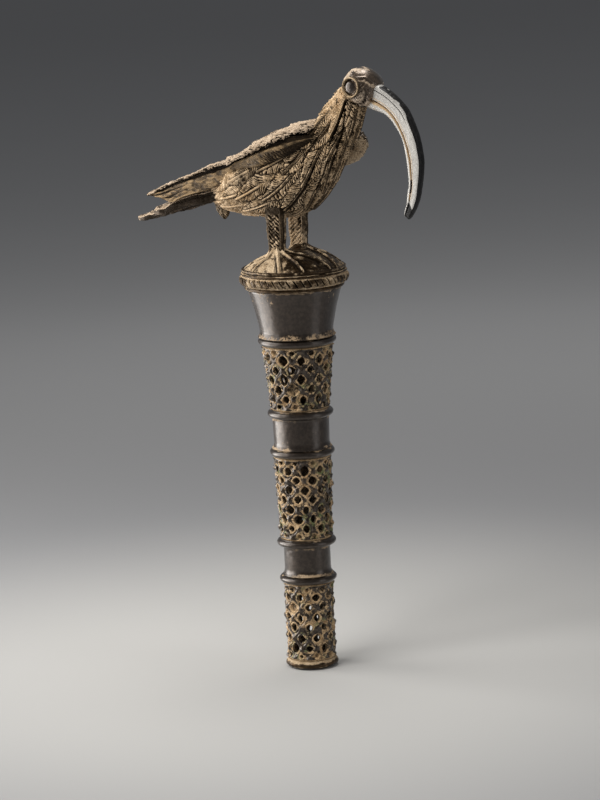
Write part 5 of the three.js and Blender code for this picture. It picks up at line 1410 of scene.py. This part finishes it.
def weld_axis(F, row, on):
    """Each row that lies on the axis becomes one vertex, and faces without an area go; gives the vertices kept."""
    F = np.where(on, row, np.arange(len(on)))[F]
    low, high = F[:, 0] == F[:, 1], F[:, 2] == F[:, 3]
    four = F[~low & ~high]
    three = np.concatenate([F[low & ~high][:, [0, 2, 3]], F[high & ~low][:, [0, 1, 2]]])
    used, back = np.unique(np.concatenate([four.reshape(-1), three.reshape(-1)]), return_inverse=True)
    return used, [back[:four.size].reshape(-1, 4), back[four.size:].reshape(-1, 3)]


def eye(side):
    c = (56.2, 10.3, 369.3)
    # one thin raised rim round the ball, a sunk ring inside it
    prof = [(4.25, -0.6), (4.35, 0.5), (4.65, 0.45), (4.95, 0.75), (5.25, 1.75), (5.65, 2.15), (6.05, 1.85), (6.35, 1.0), (6.55, -0.6), (6.3, -3.2), (4.25, -3.2)]
    P, S, ring, F = turned("rim", prof, c, side, M["cast"], [])
    r = ring[S, 0]
    label = "right" if side < 0 else "left"
    # painted shade in the gaps inside and outside the rim
    piece(f"{label}_eye_rim", P, [F], M["cast"], "head", [f"{label}_eye_rim"], dep=(0.85 + 0.3 * noise(P, 3, 205, 2)).reshape(-1),
          deep=(0.95 * step(5.15 - r, 0, 0.3) + 0.75 * step(r, 5.85, 6.3) + 0.55 * step(noise(P, 2.4, 206, 2), 0.25, 0.75)).reshape(-1), rub=(0 * r).reshape(-1))
    dome = [(0.0, 2.75)] + [(4.15 * math.sin(a), 0.1 + 2.65 * math.cos(a)) for a in np.linspace(0.12, 1.5, 12)] + [(4.2, -2.6), (0.0, -2.6)]
    P, S, ring, F = turned("ball", dome, c, side, M["head"], [])
    r = ring[S, 0].reshape(-1)
    used, F = weld_axis(F, S.reshape(-1), r < 1e-6)
    r = r[used]
    # painted shade where the ball meets the rim
    piece(f"{label}_eye", P.reshape(-1, 3)[used], F, M["eye"], "head", [f"{label}_eye"], dep=0.02 * r, deep=0.9 * step(r, 3.9, 4.15), rub=np.full(len(used), 0.5))


BEAK = [
    (66.0, 372.0, 60.0, 363.6, 57.0, 358.6, 4.9), (68.5, 371.0, 62.6, 362.4, 59.6, 357.4, 4.8), (76.3, 366.8, 70.8, 358.9, 67.6, 354.3, 4.3), (83.3, 361.4, 77.2, 354.8, 74.5, 352.0, 4.0),
    (90.1, 353.9, 82.6, 348.7, 80.1, 346.9, 3.7), (96.1, 340.0, 88.2, 337.5, 86.0, 336.8, 3.5), (98.7, 326.6, 91.2, 325.9, 88.1, 325.6, 3.4), (98.4, 317.5, 91.7, 318.4, 88.8, 318.8, 3.3),
    (96.9, 309.0, 91.8, 310.0, 89.2, 310.6, 3.2), (95.2, 301.6, 90.3, 303.0, 87.7, 303.8, 3.0), (92.6, 295.6, 89.0, 297.4, 86.9, 298.5, 2.7), (90.0, 291.3, 86.9, 293.2, 85.2, 294.2, 2.3), (87.8, 288.2, 85.6, 289.7, 84.2, 290.6, 1.7)]


def beak(upper):
    nu = 330
    t = np.linspace(0, len(BEAK) - 1, 600)
    R0 = spline(BEAK, t)
    run = np.concatenate([[0], np.cumsum(np.hypot(*np.diff(R0[:, 0:2], axis=0).T))])
    t = np.interp(np.linspace(0, run[-1], nu), run, t)
    R = spline(BEAK, t)
    outer, part, inner, w = R[:, (0, 1)], R[:, (2, 3)], R[:, (4, 5)], R[:, 6]
    # depth runs 0 at the inner edge to 1 at the culmen; the parting is at g
    depth = np.linalg.norm(outer - inner, axis=1)
    g = np.linalg.norm(part - inner, axis=1) / depth
    g = np.clip(g, 0.22, 0.45)
    if upper:
        lo, hi = g + 0.02, np.ones(nu)
        n_side = 46
        q = np.linspace(0, 1, n_side) ** 0.85
        half = np.interp(q, [0, 0.04, 0.12, 0.60, 0.68, 0.76, 0.86, 0.93, 0.975, 1.0], [0.70, 0.92, 1.0, 1.0, 0.99, 0.97, 0.92, 0.80, 0.58, 0.22])
    else:
        lo, hi = np.zeros(nu), g - 0.02
        n_side = 26
        q = np.linspace(0, 1, n_side)
        half = np.interp(q, [0, 0.1, 0.3, 0.55, 0.8, 0.93, 1.0], [0.42, 0.70, 0.88, 0.96, 0.98, 0.9, 0.62])
    for _ in range(2):
        half[1:-1] = (half[:-2] + 2 * half[1:-1] + half[2:]) / 4
    k = lo[:, None] + (hi - lo)[:, None] * q[None]
    # rear end goes under the head; front end closes to a blunt tip
    tip = np.sqrt(np.clip((nu - 1 - np.arange(nu)) / 6.0, 0, 1))
    base = inner[:, None] + (outer - inner)[:, None] * k[..., None]
    wide = w[:, None] * half[None] * lerp(0.45, 1.0, tip)[:, None]
    mid = inner[:, None] + (outer - inner)[:, None] * ((lo + hi) / 2)[:, None, None]
    base = lerp(mid, base, lerp(0.6, 1.0, tip)[:, None, None])
    right_half = np.stack([base[..., 0], -wide, base[..., 1]], -1)
    left_half = np.stack([base[:, ::-1, 0], wide[:, ::-1], base[:, ::-1, 1]], -1)
    P = np.concatenate([right_half, left_half], 1)
    Q = np.concatenate([np.broadcast_to(q, (nu, n_side)), np.broadcast_to(q[::-1], (nu, n_side))], 1)
    n1, n3 = noise(P, 0.8, 211, 2), noise(P * (1, 1, 0.4), 4, 212, 2)
    u = np.broadcast_to((np.arange(nu) / (nu - 1))[:, None], Q.shape)
    pit = step(noise(P, 1.3, 213), 0.75, 0.95)
    H = 0.07 * n3 + 0.04 * n1
    groove_at = 0.66
    if upper:
        H = H - 0.12 * pit * step(Q, 0.72, 0.84)
        H = H - 0.30 * bump(Q, groove_at, 0.035) * step(0.42 - u, 0, 0.12) - 0.25 * step(Q, groove_at + 0.12, groove_at + 0.17) * 0
    V, F = closed_loft(relieved(P, H))
    if upper:
        ragged = 0.04 * n3
        corner = 0.835
        # the black ridge, with painted shade in the groove along the side
        black = step(Q + ragged, corner - 0.05, corner + 0.02) * step(u + 0.06 * n3, 0.28, 0.38) + 0.95 * bump(Q, groove_at, 0.035) * step(0.42 - u, 0, 0.14)
        black = black + 1.0 * step(Q, 0.88, 0.94) * step(u, 0.03, 0.10) * step(n3 + 0.8, 0.0, 0.6)
        tan = (step(0.09 - Q, 0, 0.06) + 0.9 * bump(Q, 0.17, 0.03)) * 0.9 * step(0.90 - u, 0, 0.05) + 0.30 * step(0.05 - u, 0, 0.05) * step(n3, -0.2, 0.6)
        # painted shade in the slot
        slot = step(0.16 - Q, 0, 0.08) * step(u, 0.735, 0.75) * step(0.835 - u, 0, 0.015)
        # painted shade in the open end of the tip
        face_end = 0.905 + 0.045 * (Q - 0.3)
        tip_shade = step(u, face_end - 0.008, face_end + 0.012)
    else:
        black = 0 * Q
        tan = 0.20 + step(Q, 0.70, 0.95) * 0.85 * step(0.90 - u, 0, 0.05) + 0.25 * step(n3, 0.2, 0.8) * step(0.4 - u, 0, 0.2)
        # painted shade in the slot and in the open end of the tip
        slot = step(Q, 0.66, 0.86) * step(u, 0.735, 0.75) * step(0.835 - u, 0, 0.015)
        tip_shade = step(Q, 0.45, 0.62) * step(u, 0.885, 0.91)
    black = np.clip(black + tip_shade, 0, 1)
    name = "upper_beak" if upper else "lower_beak"
    return piece(name, V, F, M["beak"], "beak", [name], dep=pad2(tan * (1 - tip_shade)), deep=pad2(np.clip(slot, 0, 1)), rub=pad2(black))


def beak_material():
    """Pale side faces, partly rubbed metal and partly a painted reflection of the key light; a black ridge (rub), which
    also carries painted shade in the groove and at the open tip; tan lines in the partings (deposit); painted shade in
    the slots (deep).
    """
    n = Nodes("bronze_beak")
    medium, fine, big = n.noise(2.5, 4, 0.6, offset=21), n.noise(0.5, 3, 0.6, offset=22), n.noise(8, 3, 0.6, offset=23)
    # pale side faces: partly rubbed metal and partly a painted reflection of the key light
    pale = n.mix(n.span(n.math("ADD", medium, n.math("MULTIPLY", big, 0.5)), 0.5, 1.0), (0.41, 0.39, 0.36), (0.53, 0.51, 0.475))
    tan = n.mix(n.span(fine, 0.35, 0.7), (0.40, 0.27, 0.15), (0.62, 0.48, 0.31))
    dark = n.mix(n.span(medium, 0.45, 0.8), (0.006, 0.0055, 0.0055), (0.027, 0.024, 0.022))
    amount = n.math("ADD", n.attr("dep"), n.math("MULTIPLY", n.math("SUBTRACT", medium, 0.5), 0.5))
    is_tan = n.span(amount, 0.3, 0.6)
    is_black = n.span(n.math("ADD", n.attr("rub"), n.math("MULTIPLY", n.math("SUBTRACT", medium, 0.5), 0.7)), 0.35, 0.65)
    col = n.mix(is_tan, pale, tan)
    col = n.mix(is_black, col, dark)
    # painted shade in the slots
    col = n.mix(n.span(n.attr("deep"), 0.2, 0.9), col, (0.035, 0.018, 0.01))
    rough = n.mixf(is_tan, 0.42, 0.7)
    rough = n.mixf(is_black, rough, 0.42)
    rough = n.math("ADD", rough, n.math("MULTIPLY", n.math("SUBTRACT", fine, 0.5), 0.2), clamp=True)
    metal = n.mixf(is_black, n.mixf(is_tan, 0.35, 0.1), 0.0)
    n.bumps((medium, 0.12, 0.5), (fine, 0.05, 0.6))
    n.bsdf.inputs["Specular IOR Level"].default_value = 0.28
    return n.finish(col, rough, metal)


M["beak"] = beak_material()
M["eye"] = patina("bronze_eye", (0.045, 0.032, 0.024), (0.10, 0.076, 0.06), TAN, PALE, dep=-0.3, gloss=0.3, grain=0.1, tan_noise=0.2, offset=25, coat=1.0)
for s in (-1, 1):
    plumage(s)
    coverts(s)
    wing(s)
    leg(s)
    foot(s)
    eye(s)
tail("middle_tail_feather", TAIL_MIDDLE, 1, 221)
tail("right_tail_feather", TAIL_SIDE, -1, 222)
tail("left_tail_feather", TAIL_SIDE, 1, 223)
leaf()
head()
beak(True)
beak(False)

# ------------------------------------------------------------------ floor, backdrop and lights
def stage_mesh():
    # one wide floor whose colour is painted light and shade: pale close in, a darker ring out to half a metre that
    # keeps reflections in the bronze dark, pale again out to 1.5 m, then greyer far off into the studio's grey
    rings = np.concatenate([[0.0], np.geomspace(0.05, 14.0, 46)])
    nth = 72
    th = np.linspace(0, 2 * np.pi, nth, endpoint=False)
    V = [(0.0, 0.0, -0.0012)]
    for r in rings[1:]:
        V += [(r * math.cos(a), r * math.sin(a), -0.0012) for a in th]
    F = [(0, 1 + k, 1 + (k + 1) % nth) for k in range(nth)]
    for m in range(len(rings) - 2):
        a, b = 1 + m * nth, 1 + (m + 1) * nth
        F += [(a + k, b + k, b + (k + 1) % nth, a + (k + 1) % nth) for k in range(nth)]
    me = bpy.data.meshes.new("studio_floor")
    me.from_pydata(V, [], F)
    n = Nodes("studio")
    geo = n.t.nodes.new("ShaderNodeNewGeometry")
    sep = n.t.nodes.new("ShaderNodeSeparateXYZ")
    n.link(geo.outputs["Position"], sep.inputs[0])
    sq = n.math("ADD", n.math("MULTIPLY", sep.outputs["X"], sep.outputs["X"]), n.math("MULTIPLY", sep.outputs["Y"], sep.outputs["Y"]))
    r = n.math("SQRT", sq)
    col = n.mix(n.span(r, 0.10, 0.50), (0.42, 0.412, 0.398), (0.235, 0.235, 0.24))
    col = n.mix(n.span(r, 0.5, 1.5), col, (0.50, 0.50, 0.505))
    col = n.mix(n.span(r, 2.2, 7.0), col, (0.41, 0.41, 0.415))
    col = n.mix(n.math("MULTIPLY", n.noise(300, 2, 0.5), 0.06), col, (0.3, 0.3, 0.3))
    n.bsdf.inputs["Specular IOR Level"].default_value = 0.0
    me.materials.append(n.finish(col, 0.9, 0.0))
    o = bpy.data.objects.new("studio_floor", me)
    bpy.context.scene.collection.objects.link(o)


stage_mesh()
scene = bpy.context.scene
scene.view_settings.view_transform = "Standard"
scene.view_settings.look = "None"
world = bpy.data.worlds.new("studio")
scene.world = world
world.use_nodes = True
world.node_tree.nodes["Background"].inputs[0].default_value = (0.5, 0.51, 0.53, 1)
world.node_tree.nodes["Background"].inputs[1].default_value = 0.28


def softbox(name, azimuth, elevation, distance, size, power, colour=(1, 1, 1), aim=(0, 0, 0.2), diffuse=True, glossy=True):
    """azimuth is measured from the camera's own, positive to its right."""
    a, e = AZ + math.radians(azimuth), math.radians(elevation)
    way = Vector((math.sin(a) * math.cos(e), -math.cos(a) * math.cos(e), math.sin(e)))
    light = bpy.data.lights.new(name, "AREA")
    light.shape, light.size, light.size_y = "RECTANGLE", size[0], size[1]
    light.energy, light.color = power, colour
    o = bpy.data.objects.new(name, light)
    o.location = Vector(aim) + way * distance
    o.rotation_mode = "QUATERNION"
    o.rotation_quaternion = (-way).to_track_quat("-Z", "Y")
    o.visible_camera = False
    o.visible_diffuse, o.visible_glossy = diffuse, glossy
    scene.collection.objects.link(o)


softbox("key", -108, 0, 0.7, (0.42, 1.1), 6.4, (1.0, 0.985, 0.96), (0, 0, 0.56))
softbox("key_side", -76, 0, 0.75, (0.5, 1.1), 3.0, (1.0, 0.985, 0.96), (0, 0, 0.56))
softbox("top", -50, 50, 1.25, (0.7, 0.7), 14, (1.0, 0.99, 0.97), (0, 0, 0.3), glossy=False)
softbox("overhead", 165, 76, 1.0, (0.5, 0.5), 5.5, (1.0, 0.99, 0.97), (0, 0, 0.3))
softbox("fill", 60, 0, 0.78, (0.36, 0.95), 0.65, (0.97, 0.98, 1.0), (0, 0, 0.48))
softbox("front", 15, 25, 1.4, (0.6, 0.6), 3.0, (1.0, 0.99, 0.97), (0, 0, 0.3), glossy=False)
# low strips, seen only in the gloss of the flaring cup
softbox("low_left", -100, 0, 0.33, (0.30, 0.17), 0.50, (1.0, 0.985, 0.96), (0, 0, 0.09), diffuse=False)
softbox("low_right", 60, 0, 0.33, (0.14, 0.17), 0.035, (0.97, 0.98, 1.0), (0, 0, 0.09), diffuse=False)
